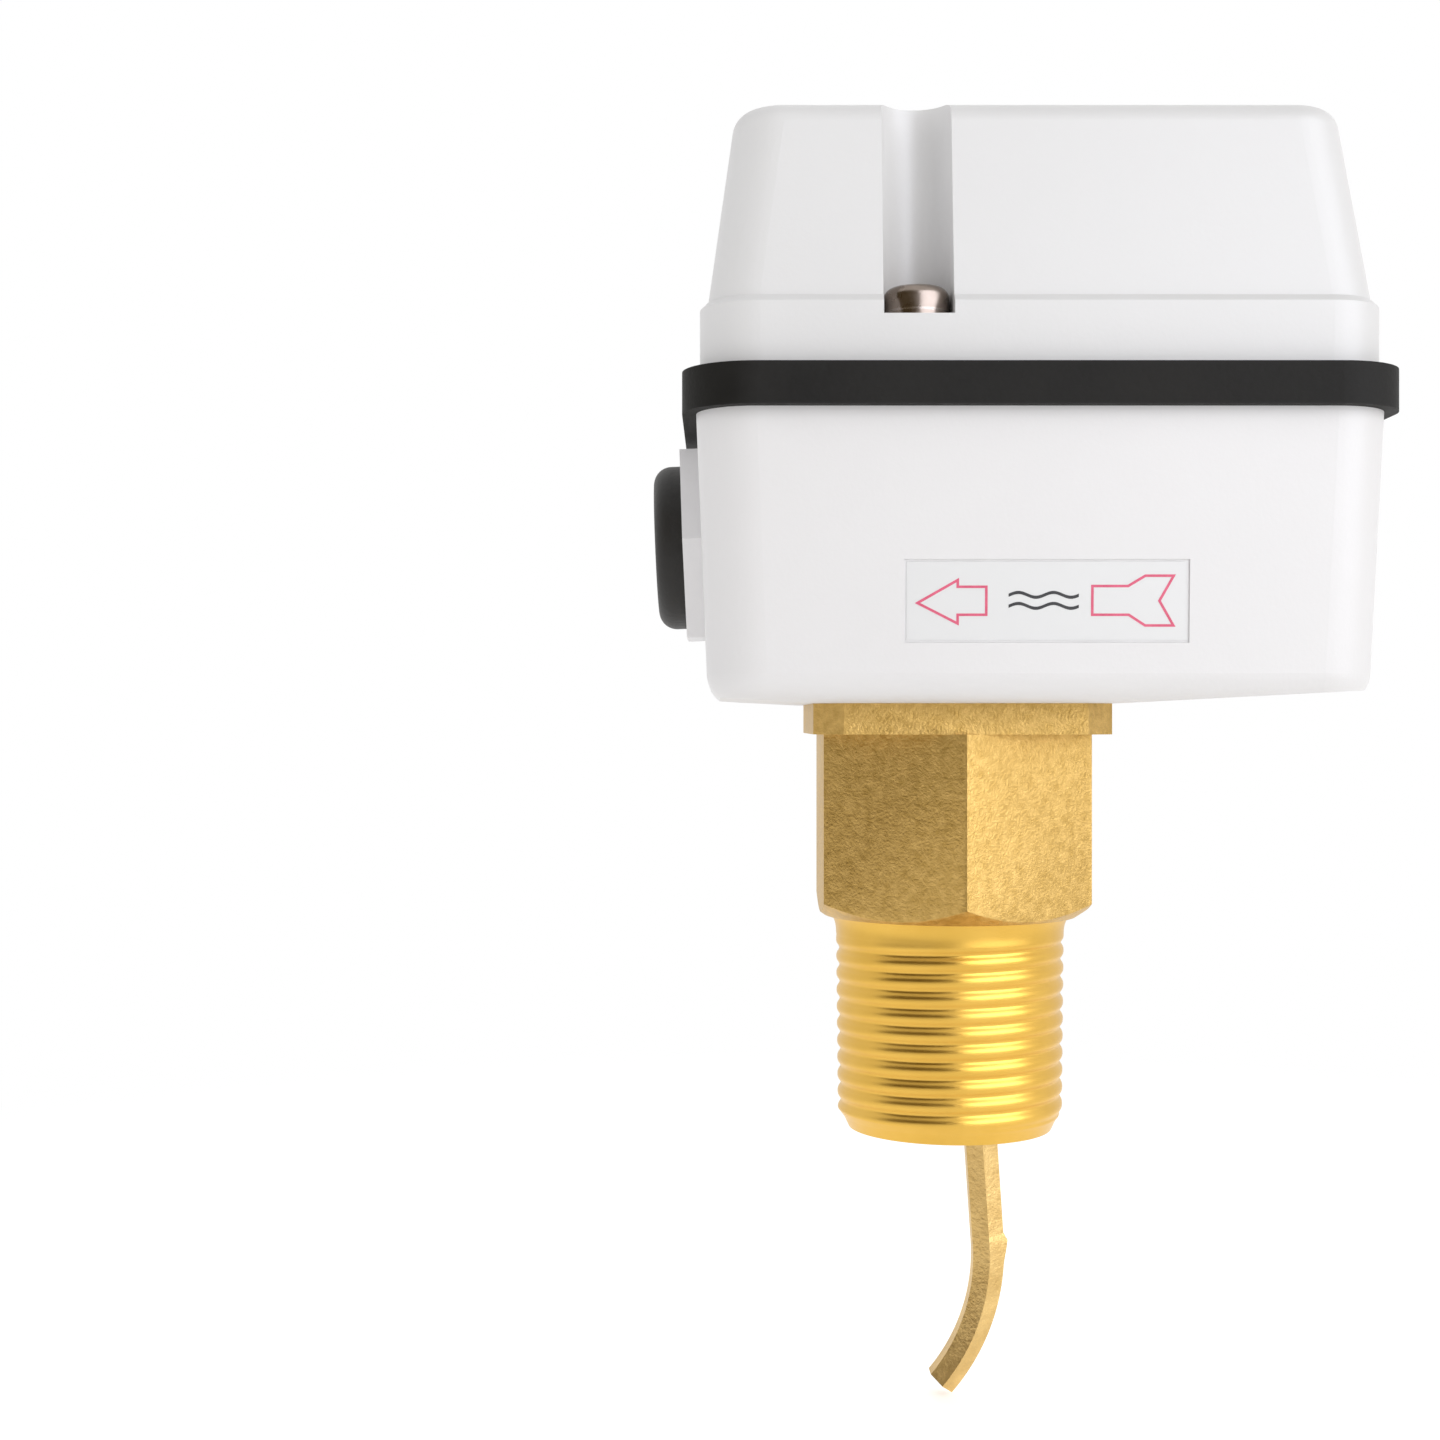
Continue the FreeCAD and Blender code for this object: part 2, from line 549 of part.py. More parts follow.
def rounded_rectangle(sketch, half_x, half_y, radius):
    """A rectangle with rounded corners about the housing's centre."""
    corners, arcs = [], {}
    for number, (side_x, side_y, upright_first) in enumerate(
            [("-", "-", True), ("+", "-", False), ("+", "+", True), ("-", "+", False)]):
        x, y = "(housing_centre %s (%s))" % (side_x, half_x), "(0 %s (%s))" % (side_y, half_y)
        in_x = "(housing_centre %s (%s - (%s)))" % (side_x, half_x, radius)
        in_y = "(0 %s (%s - (%s)))" % (side_y, half_y, radius)
        pair = [(x, in_y), (in_x, y)]
        corners += pair if upright_first else pair[::-1]
        arcs[2 * number] = (in_x, in_y, 1, "x")
    outline(sketch, corners, arcs)


# Base: floor, boss pads, bays, tongue, entry hole and label recess.
base = body_of("base_housing")
pad(base, box_sketch(base, "base_top", "housing_half", "housing_depth"), "base_top - base_bottom",
    reverse=True, taper="-base_draft")
round_edges(base, "corner_radius", corner_edges("housing_half", "housing_depth", "base_bottom", "base_top"))
low = value("base_bottom")
round_edges(base, "bottom_round", lambda edge: at_height(edge, low))
sketch = sketch_on(base, "XZ")
for side in (1, -1):
    start, far = "%d * floor_seat" % side, "housing_centre + %d * housing_half" % side
    outline(sketch, [(start, "base_bottom"), (far, "base_bottom - 1"),
                     (far, "base_bottom + (%s - %s) * %d * tan(floor_slope * 1 deg)" % (far, start, side))])
pocket(base, sketch, "3 * housing_depth", middle=True)
cavity(base, "base_top", "0", "floor_top", "(base_top - floor_top) * tan(base_draft * 1 deg)")
round_edges(base, "corner_radius - wall", corner_edges(IN_X, IN_Y, "floor_top", "base_top"))
round_bays(base, "floor_top", "base_top")


def lip(body, height, half_x, half_y, high, reverse=False):
    """A low wall along the middle of a rim, which keys into the gasket's groove."""
    sketch = sketch_on(body, "XY", height)
    for inset in ("(wall / 2 - tongue_wide / 2)", "(wall / 2 + tongue_wide / 2)"):
        rounded_rectangle(sketch, "%s - %s" % (half_x, inset), "%s - %s" % (half_y, inset),
                          "corner_radius - %s" % inset)
    return pad(body, sketch, high, reverse=reverse)


lip(base, "base_top", "housing_half", "housing_depth", "tongue_high")

# Pads for the bracket, the neck's opening, flange screw holes and insert holes.
PLATE_BACK = "(switch_half_depth + plate_thick)"
FOOT_LINE = "%s + foot_reach / 2" % PLATE_BACK
FEET = [("left_foot", FOOT_LINE), ("right_foot - foot_half / 2 - 1", FOOT_LINE),
        ("right_foot + foot_half / 2 + 1", FOOT_LINE)]
sketch = sketch_on(base, "XY", "floor_top - 1")
for x, y in FEET:
    ring(sketch, x, y, "boss_radius")
pad(base, sketch, "boss_rise + 1")
sketch = sketch_on(base, "XY", "floor_top + boss_rise")
for x, y in FEET:
    ring(sketch, x, y, "bracket_screw_radius")
pocket(base, sketch, "bracket_screw_grip + clear_gap")
sketch = sketch_on(base, "XY", "floor_top")
ring(sketch, "0", "0", "neck_radius + clear_gap")
for side_x in ("", "-"):
    for side_y in ("", "-"):
        ring(sketch, side_x + "flange_screw_place", side_y + "flange_screw_place",
             "flange_screw_radius + clear_gap")
pocket(base, sketch, "floor_top - base_bottom + 1")
sketch = sketch_on(base, "XY", "base_top")
ring(sketch, LEFT_SCREW, "-screw_line", "insert_radius")
ring(sketch, RIGHT_SCREW, "screw_line", "insert_radius")
pocket(base, sketch, "insert_length + 8")

# The entry hole leans with the wall's draft, and so do the pieces that sit in it.
WALL_X = "(housing_centre - housing_half + (base_top - entry_height) * tan(base_draft * 1 deg))"


def entry_sketch(body, out):
    """A sketch square to the drafted wall, a distance out from its face."""
    sketch = body.newObject("Sketcher::SketchObject", "sketch")
    roles = {feature.Role: feature for feature in body.Origin.OriginFeatures}
    sketch.AttachmentSupport = [(roles["YZ_Plane"], "")]
    sketch.MapMode = "FlatFace"
    sketch.AttachmentOffset = FreeCAD.Placement(Vector(), Rotation(Vector(-1, 0, 0), value("base_draft")))
    sketch.setExpression("AttachmentOffset.Rotation.Angle", bound("base_draft * 1 deg"))
    outwards = "%s - (%s) * cos(base_draft * 1 deg)" % (WALL_X, out)
    upwards = "entry_height - (%s) * sin(base_draft * 1 deg)" % out
    sketch.setExpression("AttachmentOffset.Base.z", bound(outwards))
    sketch.setExpression("AttachmentOffset.Base.y", bound(upwards))
    return sketch


sketch = entry_sketch(base, "1")
ring(sketch, "0", "0", "entry_shank + clear_gap")
pocket(base, sketch, "2 * wall + 2", reverse=True)

# Label recess in the drafted front wall.
FRONT_Y = "(-housing_depth + (base_top - label_height) * tan(base_draft * 1 deg))"


def front_sketch(body, out):
    """A sketch square to the drafted front wall, a distance out from its face."""
    sketch = body.newObject("Sketcher::SketchObject", "sketch")
    roles = {feature.Role: feature for feature in body.Origin.OriginFeatures}
    sketch.AttachmentSupport = [(roles["XZ_Plane"], "")]
    sketch.MapMode = "FlatFace"
    sketch.AttachmentOffset = FreeCAD.Placement(Vector(), Rotation(Vector(1, 0, 0), value("base_draft")))
    sketch.setExpression("AttachmentOffset.Rotation.Angle", bound("base_draft * 1 deg"))
    sketch.setExpression("AttachmentOffset.Base.x", bound("housing_centre"))
    upwards = "label_height - (%s) * sin(base_draft * 1 deg)" % out
    outwards = "(%s) * cos(base_draft * 1 deg) - %s" % (out, FRONT_Y)
    sketch.setExpression("AttachmentOffset.Base.y", bound(upwards))
    sketch.setExpression("AttachmentOffset.Base.z", bound(outwards))
    return sketch


sketch = front_sketch(base, "2")
rectangle(sketch, "-label_wide / 2", "label_wide / 2", "-label_high / 2", "label_high / 2")
pocket(base, sketch, "label_deep + 2")
label = body_of("flow_label")
sketch = front_sketch(label, "-label_deep")
rectangle(sketch, "clear_gap - label_wide / 2", "label_wide / 2 - clear_gap",
          "clear_gap - label_high / 2", "label_high / 2 - clear_gap")
pad(label, sketch, "label_thick")

# Threaded inserts: knurled brass bushes, flush in the base's bays.
inserts = body_of("thread_inserts")
sketch = sketch_on(inserts, "XY", "base_top")
inserts.AllowCompound = True
for x, y in ((LEFT_SCREW, "-screw_line"), (RIGHT_SCREW, "screw_line")):
    ring(sketch, x, y, "insert_radius")
    ring(sketch, x, y, "cover_screw_radius + run_gap")
pad(inserts, sketch, "insert_length", reverse=True)

# Cover: a plain band, a small step and a drafted top with two open screw channels.
BAND_TOP = "(%s + band_high)" % COVER_BOTTOM
CAVITY_TOP = "(cover_top - cover_wall)"
cover = body_of("top_cover")
pad(cover, box_sketch(cover, COVER_BOTTOM, "cover_half", "cover_depth"), "band_high")
pad(cover, box_sketch(cover, BAND_TOP, "(cover_half - band_step)", "(cover_depth - band_step)"),
    "cover_top - %s" % BAND_TOP, taper="-cover_draft")
TOP_HALF, TOP_DEPTH = "(cover_half - 2.5 * band_step)", "(cover_depth - 2.5 * band_step)"
round_edges(cover, "corner_radius - band_step", corner_edges(TOP_HALF, TOP_DEPTH, BAND_TOP, "cover_top"))
round_edges(cover, "corner_radius", corner_edges("cover_half", "cover_depth", COVER_BOTTOM, BAND_TOP))
crown = value("cover_top")
round_edges(cover, "cover_round", lambda edge: at_height(edge, crown))
step_height = value(BAND_TOP)


def on_band_rim(edge):
    """Tells the outer rim of the band's top from the foot of the drafted part."""
    box, rim_x, rim_y = edge.BoundBox, value("cover_half - 0.3"), value("cover_depth - 0.3")
    wide = max(abs(box.XMin - value("housing_centre")), abs(box.XMax - value("housing_centre"))) > rim_x
    return at_height(edge, step_height) and (wide or box.YMax > rim_y or box.YMin < -rim_y)


round_edges(cover, "band_step * 0.8", on_band_rim, kind="PartDesign::Chamfer")
cavity(cover, COVER_BOTTOM, "0", BAND_TOP, "band_step")
cavity(cover, BAND_TOP, "band_step", CAVITY_TOP,
       "band_step + (%s - %s) * tan(cover_draft * 1 deg)" % (CAVITY_TOP, BAND_TOP))
sketch = sketch_on(cover, "XY", "cover_top + 1")
for screw, side, turn in ((LEFT_SCREW, "-", 1), (RIGHT_SCREW, "", -1)):
    near, far = "%s - channel_half" % screw, "%s + channel_half" % screw
    outside, line = side + "(cover_depth + 5)", side + "screw_line"
    outline(sketch, [(near, outside), (far, outside), (far, line), (near, line)],
            {2: (screw, line, turn, "y")})
pocket(cover, sketch, "cover_top + 1 - channel_floor")
sketch = sketch_on(cover, "XY", "channel_floor")
ring(sketch, LEFT_SCREW, "-screw_line", "cover_screw_radius + clear_gap")
ring(sketch, RIGHT_SCREW, "screw_line", "cover_screw_radius + clear_gap")
pocket(cover, sketch, "channel_floor - %s + 1" % COVER_BOTTOM)
lip(cover, COVER_BOTTOM, "cover_half", "cover_depth", "tongue_high", reverse=True)

# Gasket: a moulded rubber frame, grooved for both lips, proud of the housing all round.
gasket = body_of("cover_gasket")
sketch = sketch_on(gasket, "XY", "base_top")
rounded_rectangle(sketch, "(housing_half + gasket_proud)", "(housing_depth + gasket_proud)",
                  "corner_radius + gasket_proud")
pad(gasket, sketch, "gasket_high")
sketch = sketch_on(gasket, "XY", "base_top")
inner_outline(sketch)
pocket(gasket, sketch, "gasket_high", reverse=True)
sketch = sketch_on(gasket, "XY", "base_top")
ring(sketch, LEFT_SCREW, "-screw_line", "cover_screw_radius + clear_gap")
ring(sketch, RIGHT_SCREW, "screw_line", "cover_screw_radius + clear_gap")
pocket(gasket, sketch, "gasket_high", reverse=True)
for height, half_x, half_y, upwards in (("base_top", "housing_half", "housing_depth", True),
                                        (COVER_BOTTOM, "cover_half", "cover_depth", False)):
    sketch = sketch_on(gasket, "XY", height)
    for inset in ("(wall / 2 - tongue_wide / 2 - fit_gap)", "(wall / 2 + tongue_wide / 2 + fit_gap)"):
        rounded_rectangle(sketch, "%s - %s" % (half_x, inset), "%s - %s" % (half_y, inset),
                          "corner_radius - %s" % inset)
    pocket(gasket, sketch, "tongue_high + fit_gap", reverse=upwards)

# Cover screws with their washers, one in each channel.
SCREWS = ((LEFT_SCREW, "-screw_line"), (RIGHT_SCREW, "screw_line"))
members = []
for x, y in SCREWS:
    screw = doc.addObject("PartDesign::Body", "cover_screw")
    pan_screw(screw, x, y, "channel_floor + washer_thick", "cover_screw_radius", "cover_head_radius",
              "cover_head_high", "cover_screw_length")
    members.append(screw)
group_of("cover_screws", members)
washers = body_of("cover_screw_washers")
washers.AllowCompound = True
sketch = sketch_on(washers, "XY", "channel_floor")
for x, y in SCREWS:
    ring(sketch, x, y, "cover_head_radius - fit_gap")
    ring(sketch, x, y, "cover_screw_radius + fit_gap")
pad(washers, sketch, "washer_thick")

# Flange screws: from inside the housing into the brass flange.
members = []
for side_x in ("", "-"):
    for side_y in ("", "-"):
        screw = doc.addObject("PartDesign::Body", "flange_screw")
        pan_screw(screw, side_x + "flange_screw_place", side_y + "flange_screw_place", "floor_top",
                  "flange_screw_radius - run_gap", "pan_radius", "pan_high",
                  "floor_top - (%s) + flange_screw_depth - clear_gap" % FLANGE_TOP)
        members.append(screw)
group_of("flange_screws", members)

# Cable entry: hexagonal flange and shank, inner lock nut, and a domed rubber grommet.
gland = body_of("gland_body")
sketch = entry_sketch(gland, "0")
hexagon(sketch, "0", "0", "entry_hex", flats_on_x=False)
pad(gland, sketch, "entry_flange", reverse=True)
sketch = entry_sketch(gland, "0")
ring(sketch, "0", "0", "entry_shank")
pad(gland, sketch, "entry_shank_length")
sketch = entry_sketch(gland, "entry_flange")
ring(sketch, "0", "0", "entry_bore")
pocket(gland, sketch, "entry_flange + entry_shank_length", reverse=True)
locknut = body_of("gland_locknut")
sketch = entry_sketch(locknut, "-wall")
hexagon(sketch, "0", "0", "locknut_width", flats_on_x=False)
ring(sketch, "0", "0", "entry_shank + run_gap")
pad(locknut, sketch, "locknut_thick")
grommet = body_of("cable_grommet")
sketch = entry_sketch(grommet, "entry_flange")
ring(sketch, "0", "0", "dome_radius")
pad(grommet, sketch, "dome_thick", reverse=True)
dome_edge = max(grommet.Shape.Edges,
                key=lambda edge: (edge.Length > 2 * value("dome_radius")) * -edge.CenterOfMass.x)
spot = dome_edge.CenterOfMass
round_edges(grommet, "dome_round", lambda edge: (edge.CenterOfMass - spot).Length < 0.01
            and edge.Length > 6 * value("dome_radius"))
sketch = entry_sketch(grommet, "entry_flange")
ring(sketch, "0", "0", "entry_bore - run_gap")
pad(grommet, sketch, "entry_flange + entry_shank_length")
sketch = entry_sketch(grommet, "entry_flange + dome_thick + 1")
ring(sketch, "0", "0", "cable_hole")
pocket(grommet, sketch, "2 * entry_flange + dome_thick + entry_shank_length + 2", reverse=True)

# Bracket: one bent steel plate with an arch over the bellows, two feet and a shelf.
FOOT_BOTTOM = "(floor_top + boss_rise)"
bracket = body_of("switch_bracket")
sketch = sketch_on(bracket, "XZ", "-switch_half_depth")
WINDOW_FOOT = FOOT_BOTTOM + " + window_foot"
outline(sketch, [("plate_left", FOOT_BOTTOM), ("left_foot_end", FOOT_BOTTOM), ("-window_half", WINDOW_FOOT),
                 ("-window_half", "window_top"), ("window_half", "window_top"),
                 ("window_half", WINDOW_FOOT), ("right_foot - foot_half", FOOT_BOTTOM),
                 ("right_foot + foot_half", FOOT_BOTTOM), ("right_foot + foot_half", "plate_right_top"),
                 ("window_half + shelf_slope", "plate_right_top"),
                 ("range_place + shelf_half", "plate_top"), ("plate_left", "plate_top")])
pad(bracket, sketch, "plate_thick", reverse=True)
sketch = sketch_on(bracket, "XY", "plate_top")
rectangle(sketch, "range_place - shelf_half", "range_place + shelf_half",
          "switch_half_depth - shelf_reach", "switch_half_depth + plate_thick")
pad(bracket, sketch, "plate_thick", reverse=True)
sketch = sketch_on(bracket, "XY", FOOT_BOTTOM)
for left, right in (("plate_left", "left_foot_end"), ("right_foot - foot_half", "right_foot + foot_half")):
    rectangle(sketch, left, right, "switch_half_depth", "%s + foot_reach" % PLATE_BACK)
pad(bracket, sketch, "plate_thick")
sketch = sketch_on(bracket, "XY", "plate_top + 1")
ring(sketch, "range_place", "0", "range_screw_radius + run_gap")
pocket(bracket, sketch, "plate_thick + 2")
sketch = sketch_on(bracket, "XY", FOOT_BOTTOM + " + plate_thick + 1")
for x, y in FEET:
    ring(sketch, x, y, "bracket_screw_radius + fit_gap")
pocket(bracket, sketch, "plate_thick + 2")
SWITCH_SCREWS = (("switch_left + switch_screw_inset", "switch_top - switch_screw_drop"),
                 ("switch_left + switch_length - switch_screw_inset",
                  "switch_top - switch_high + switch_screw_lift"))
sketch = sketch_on(bracket, "XZ", "-switch_half_depth + 1")
for x, z in SWITCH_SCREWS:
    ring(sketch, x, z, "switch_screw_radius + run_gap")
ring(sketch, "earth_place", "earth_height", "bracket_screw_radius + run_gap")
pocket(bracket, sketch, "plate_thick + 2")
members = []
for x, y in FEET:
    screw = doc.addObject("PartDesign::Body", "bracket_screw")
    pan_screw(screw, x, y, FOOT_BOTTOM + " + plate_thick", "bracket_screw_radius - run_gap",
              "small_pan_radius", "small_pan_high", "plate_thick + bracket_screw_grip")
    members.append(screw)
group_of("bracket_screws", members)

# Snap switch: moulded case with two ears for the leaf, its leaf, pin and plunger.
case = body_of("microswitch_case")
sketch = sketch_on(case, "XZ")
rectangle(sketch, "switch_left", "switch_left + switch_length", "switch_top - switch_high", "switch_top")
pad(case, sketch, "2 * switch_half_depth", middle=True)
round_edges(case, "switch_round", lambda edge: edge.BoundBox.YLength > value("switch_half_depth"))
LEAF_Z = "(switch_top + leaf_rise)"
sketch = sketch_on(case, "XZ")
outline(sketch, [("leaf_pivot - ear_half", "switch_top - 1"), ("leaf_pivot + ear_half", "switch_top - 1"),
                 ("leaf_pivot + ear_half", LEAF_Z), ("leaf_pivot - ear_half", LEAF_Z)],
        {2: ("leaf_pivot", LEAF_Z, 1, "y")})
pad(case, sketch, "2 * (leaf_half + clear_gap + ear_thick)", middle=True)
sketch = sketch_on(case, "XZ")
rectangle(sketch, "leaf_pivot - 2 * ear_half", "leaf_pivot + 2 * ear_half", "switch_top", "switch_top + 8")
pocket(case, sketch, "2 * (leaf_half + clear_gap)", middle=True)
sketch = sketch_on(case, "XZ")
ring(sketch, "leaf_pivot", LEAF_Z, "leaf_pin_radius + run_gap / 4")
for x, z in SWITCH_SCREWS:
    ring(sketch, x, z, "switch_screw_radius + run_gap")
pocket(case, sketch, "4 * switch_half_depth", middle=True)
sketch = sketch_on(case, "XY", "switch_top")
ring(sketch, "plunger_place", "0", "plunger_radius + run_gap")
pocket(case, sketch, "plunger_below + plunger_stroke + clear_gap")

leaf = body_of("switch_leaf")
sketch = sketch_on(leaf, "XZ")
rectangle(sketch, "leaf_tip", "leaf_pivot + eye_radius / 2", "leaf_top - leaf_thick", "leaf_top")
pad(leaf, sketch, "2 * leaf_half", middle=True)
sketch = sketch_on(leaf, "XZ")
ring(sketch, "leaf_pivot", LEAF_Z, "eye_radius")
pad(leaf, sketch, "2 * leaf_half", middle=True)
sketch = sketch_on(leaf, "XZ")
ring(sketch, "leaf_pivot", LEAF_Z, "leaf_pin_radius + run_gap")
pocket(leaf, sketch, "4 * leaf_half", middle=True)
leaf_pin = body_of("leaf_pin")
sketch = sketch_on(leaf_pin, "XZ")
ring(sketch, "leaf_pivot", LEAF_Z, "leaf_pin_radius")
pad(leaf_pin, sketch, "2 * (leaf_half + clear_gap + ear_thick)", middle=True)
plunger = body_of("switch_plunger")
sketch = sketch_on(plunger, "XY", "leaf_top - leaf_thick - clear_gap")
ring(sketch, "plunger_place", "0", "plunger_radius")
pad(plunger, sketch, "leaf_top - leaf_thick - clear_gap - switch_top + plunger_below", reverse=True)
plunger_top = value("leaf_top - leaf_thick - clear_gap")
round_edges(plunger, "plunger_radius / 2", lambda edge: at_height(edge, plunger_top))

terminals = body_of("switch_terminals")
terminals.AllowCompound = True
sketch = sketch_on(terminals, "XY", "terminal_height")
TERMINALS = ["terminal_first + %d * terminal_pitch" % number for number in range(3)]
for x in TERMINALS:
    rectangle(sketch, "%s - terminal_half" % x, "%s + terminal_half" % x,
              "-switch_half_depth - terminal_reach", "-switch_half_depth")
    ring(sketch, x, "-switch_half_depth - terminal_reach / 2", "bracket_screw_radius + run_gap")
pad(terminals, sketch, "terminal_thick", reverse=True)
members = []
for x in TERMINALS:
    screw = doc.addObject("PartDesign::Body", "terminal_screw")
    pan_screw(screw, x, "-switch_half_depth - terminal_reach / 2", "terminal_height", "bracket_screw_radius",
              "small_pan_radius", "small_pan_high", "terminal_thick + 2.2")
    members.append(screw)
group_of("terminal_screws", members)


def cross_screw(name, x, z, seat, radius, head_radius, head_high, length):
    """A domed screw that runs back along +Y, with its head in front of the seat."""
    screw = doc.addObject("PartDesign::Body", name)
    sketch = sketch_on(screw, "XZ", "-(%s)" % seat)
    ring(sketch, x, z, head_radius)
    pad(screw, sketch, head_high)
    front = value(seat) - value(head_high)
    round_edges(screw, "(%s) * 0.45" % head_high,
                lambda edge: abs(edge.CenterOfMass.y - front) < 0.01 and edge.BoundBox.YLength < 0.01)
    sketch = sketch_on(screw, "XZ", "-(%s)" % seat)
    ring(sketch, x, z, radius)
    pad(screw, sketch, length, reverse=True)
    return screw


group_of("microswitch_screws", [
    cross_screw("microswitch_screw", x, z, "-switch_half_depth", "switch_screw_radius", "small_pan_radius",
                "small_pan_high", "2 * switch_half_depth + plate_thick + 1") for x, z in SWITCH_SCREWS])
group_of("earth_screw", [cross_screw("earth_clamp_screw", "earth_place", "earth_height", "switch_half_depth",
                                     "bracket_screw_radius", "pan_radius", "pan_high", "plate_thick + 3")])

# Range adjustment: a screw held in the shelf, a square nut and a steel spring on the seat.
range_screw = body_of("range_screw")
sketch = sketch_on(range_screw, "XZ", across="range_place")
outline(sketch, [("0", "range_screw_bottom"), ("range_screw_radius * 0.7", "range_screw_bottom"),
                 ("range_screw_radius", "range_screw_bottom + range_lead"),
                 ("range_screw_radius", "plate_top + clear_gap"),
                 ("range_head_radius", "plate_top + clear_gap"),
                 ("range_head_radius", "plate_top + clear_gap + range_head_high"),
                 ("0", "plate_top + clear_gap + range_head_high")])
revolve(range_screw, sketch)
range_nut = body_of("range_nut")
sketch = sketch_on(range_nut, "XY", "range_nut_bottom")
rectangle(sketch, "range_place - range_nut_half", "range_place + range_nut_half",
          "-range_nut_half", "range_nut_half")
ring(sketch, "range_place", "0", "range_screw_radius + run_gap")
pad(range_nut, sketch, "range_nut_high")

spring_shape = doc.addObject("Part::Feature", "range_spring")
spring_shape.Label = "range_spring"
high = value("range_nut_bottom - clear_gap - spring_bottom - spring_wire")
pitch = high / value("spring_turns")
coil = Part.makeHelix(pitch, high, value("spring_radius"))
start = coil.Edges[0].Vertexes[0].Point
along = coil.Edges[0].tangentAt(coil.Edges[0].FirstParameter)
wire = Part.Wire([Part.makeCircle(value("spring_wire / 2"), start, along)])
spring_shape.Shape = Part.Wire(coil.Edges).makePipeShell([wire], True, True)
spring_shape.Placement.Base = Vector(value("range_place"), 0, value("spring_bottom + spring_wire / 2"))
nodes.append(spring_shape)

# Every object and every node's shape is tested before anything is written.
doc.recompute()
for item in doc.Objects:
    if "Invalid" in item.State or "Error" in item.State:
        raise RuntimeError("%s did not build" % item.Name)
for node in nodes:
    if node.Shape.isNull() or not node.Shape.isValid():
        raise RuntimeError("%s has no valid shape" % node.Label)
for node in nodes:
    node.Shape.exportStep("parts/%s.step" % node.Label)
    print(node.Label, len(node.Shape.Solids), round(node.Shape.Volume, 1))
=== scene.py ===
import math

import bmesh
import bpy
from mathutils import Matrix, Vector


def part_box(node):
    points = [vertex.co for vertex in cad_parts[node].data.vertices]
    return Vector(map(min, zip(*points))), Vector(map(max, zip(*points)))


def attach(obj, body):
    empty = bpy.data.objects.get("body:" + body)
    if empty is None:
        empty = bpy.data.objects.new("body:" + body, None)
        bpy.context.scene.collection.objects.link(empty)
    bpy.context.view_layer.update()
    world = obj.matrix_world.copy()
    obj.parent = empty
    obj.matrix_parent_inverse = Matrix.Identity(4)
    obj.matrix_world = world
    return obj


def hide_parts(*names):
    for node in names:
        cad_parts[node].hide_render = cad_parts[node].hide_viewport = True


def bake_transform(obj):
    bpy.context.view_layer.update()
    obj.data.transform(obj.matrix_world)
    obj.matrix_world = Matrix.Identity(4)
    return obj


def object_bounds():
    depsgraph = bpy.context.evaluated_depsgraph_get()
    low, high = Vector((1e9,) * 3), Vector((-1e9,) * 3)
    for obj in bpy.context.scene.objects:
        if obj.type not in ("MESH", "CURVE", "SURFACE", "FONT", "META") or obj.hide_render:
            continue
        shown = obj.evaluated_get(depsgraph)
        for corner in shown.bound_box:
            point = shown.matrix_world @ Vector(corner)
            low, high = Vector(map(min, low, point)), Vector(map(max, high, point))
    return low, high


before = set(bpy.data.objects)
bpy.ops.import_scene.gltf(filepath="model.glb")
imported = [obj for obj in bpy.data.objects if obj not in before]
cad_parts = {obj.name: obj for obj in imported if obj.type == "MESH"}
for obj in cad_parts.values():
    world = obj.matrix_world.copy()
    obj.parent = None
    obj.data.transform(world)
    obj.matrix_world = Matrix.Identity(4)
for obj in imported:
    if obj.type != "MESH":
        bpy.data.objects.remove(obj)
cad_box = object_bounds()

# Camera. It stands level, in front of the switch and a little to its left, at the height
# of the hexagon's top, so the pipe thread is seen from slightly above.
camera_data = bpy.data.cameras.new("camera")
camera_data.lens = 51.0
camera_data.sensor_width = 36.0
camera_data.clip_start = 0.01
camera = bpy.data.objects.new("camera", camera_data)
camera.location = (-0.0337, -0.300, 0.0285)
camera.rotation_euler = (math.radians(90), 0, 0)
bpy.context.collection.objects.link(camera)
bpy.context.scene.camera = camera
bpy.context.scene.view_settings.view_transform = "Standard"

# Studio. A white room with a white floor, a tall soft lamp on the right and weaker ones on
# the left and behind. A dark and a bright card, which only gloss reflects, give the turned
# brass its bands.
WHITE = (1, 1, 1, 1)
FLOOR_GAP, FLOOR_HALF = 0.0006, 6.0
SKY_LEVEL = 0.50
FLOOR_GLOW, FLOOR_GLOW_SEEN = 0.22, 0.26
FADE_FROM, FADE_TO = 0.10, 0.32


def add_node(tree, kind, **settings):
    """A new node of a tree, with its settings and the values of its inputs."""
    node = tree.nodes.new("ShaderNode" + kind)
    for name, given in settings.items():
        if name in node.inputs:
            node.inputs[name].default_value = given
        else:
            setattr(node, name, given)
    return node


def seen_directly(tree):
    """1 for camera, glossy and transmission rays, which see the room plain white."""
    path = add_node(tree, "LightPath")
    total = None
    for ray in ("Is Camera Ray", "Is Glossy Ray", "Is Transmission Ray"):
        if total is None:
            total = path.outputs[ray]
            continue
        larger = add_node(tree, "Math", operation="MAXIMUM")
        tree.links.new(total, larger.inputs[0])
        tree.links.new(path.outputs[ray], larger.inputs[1])
        total = larger.outputs[0]
    return total


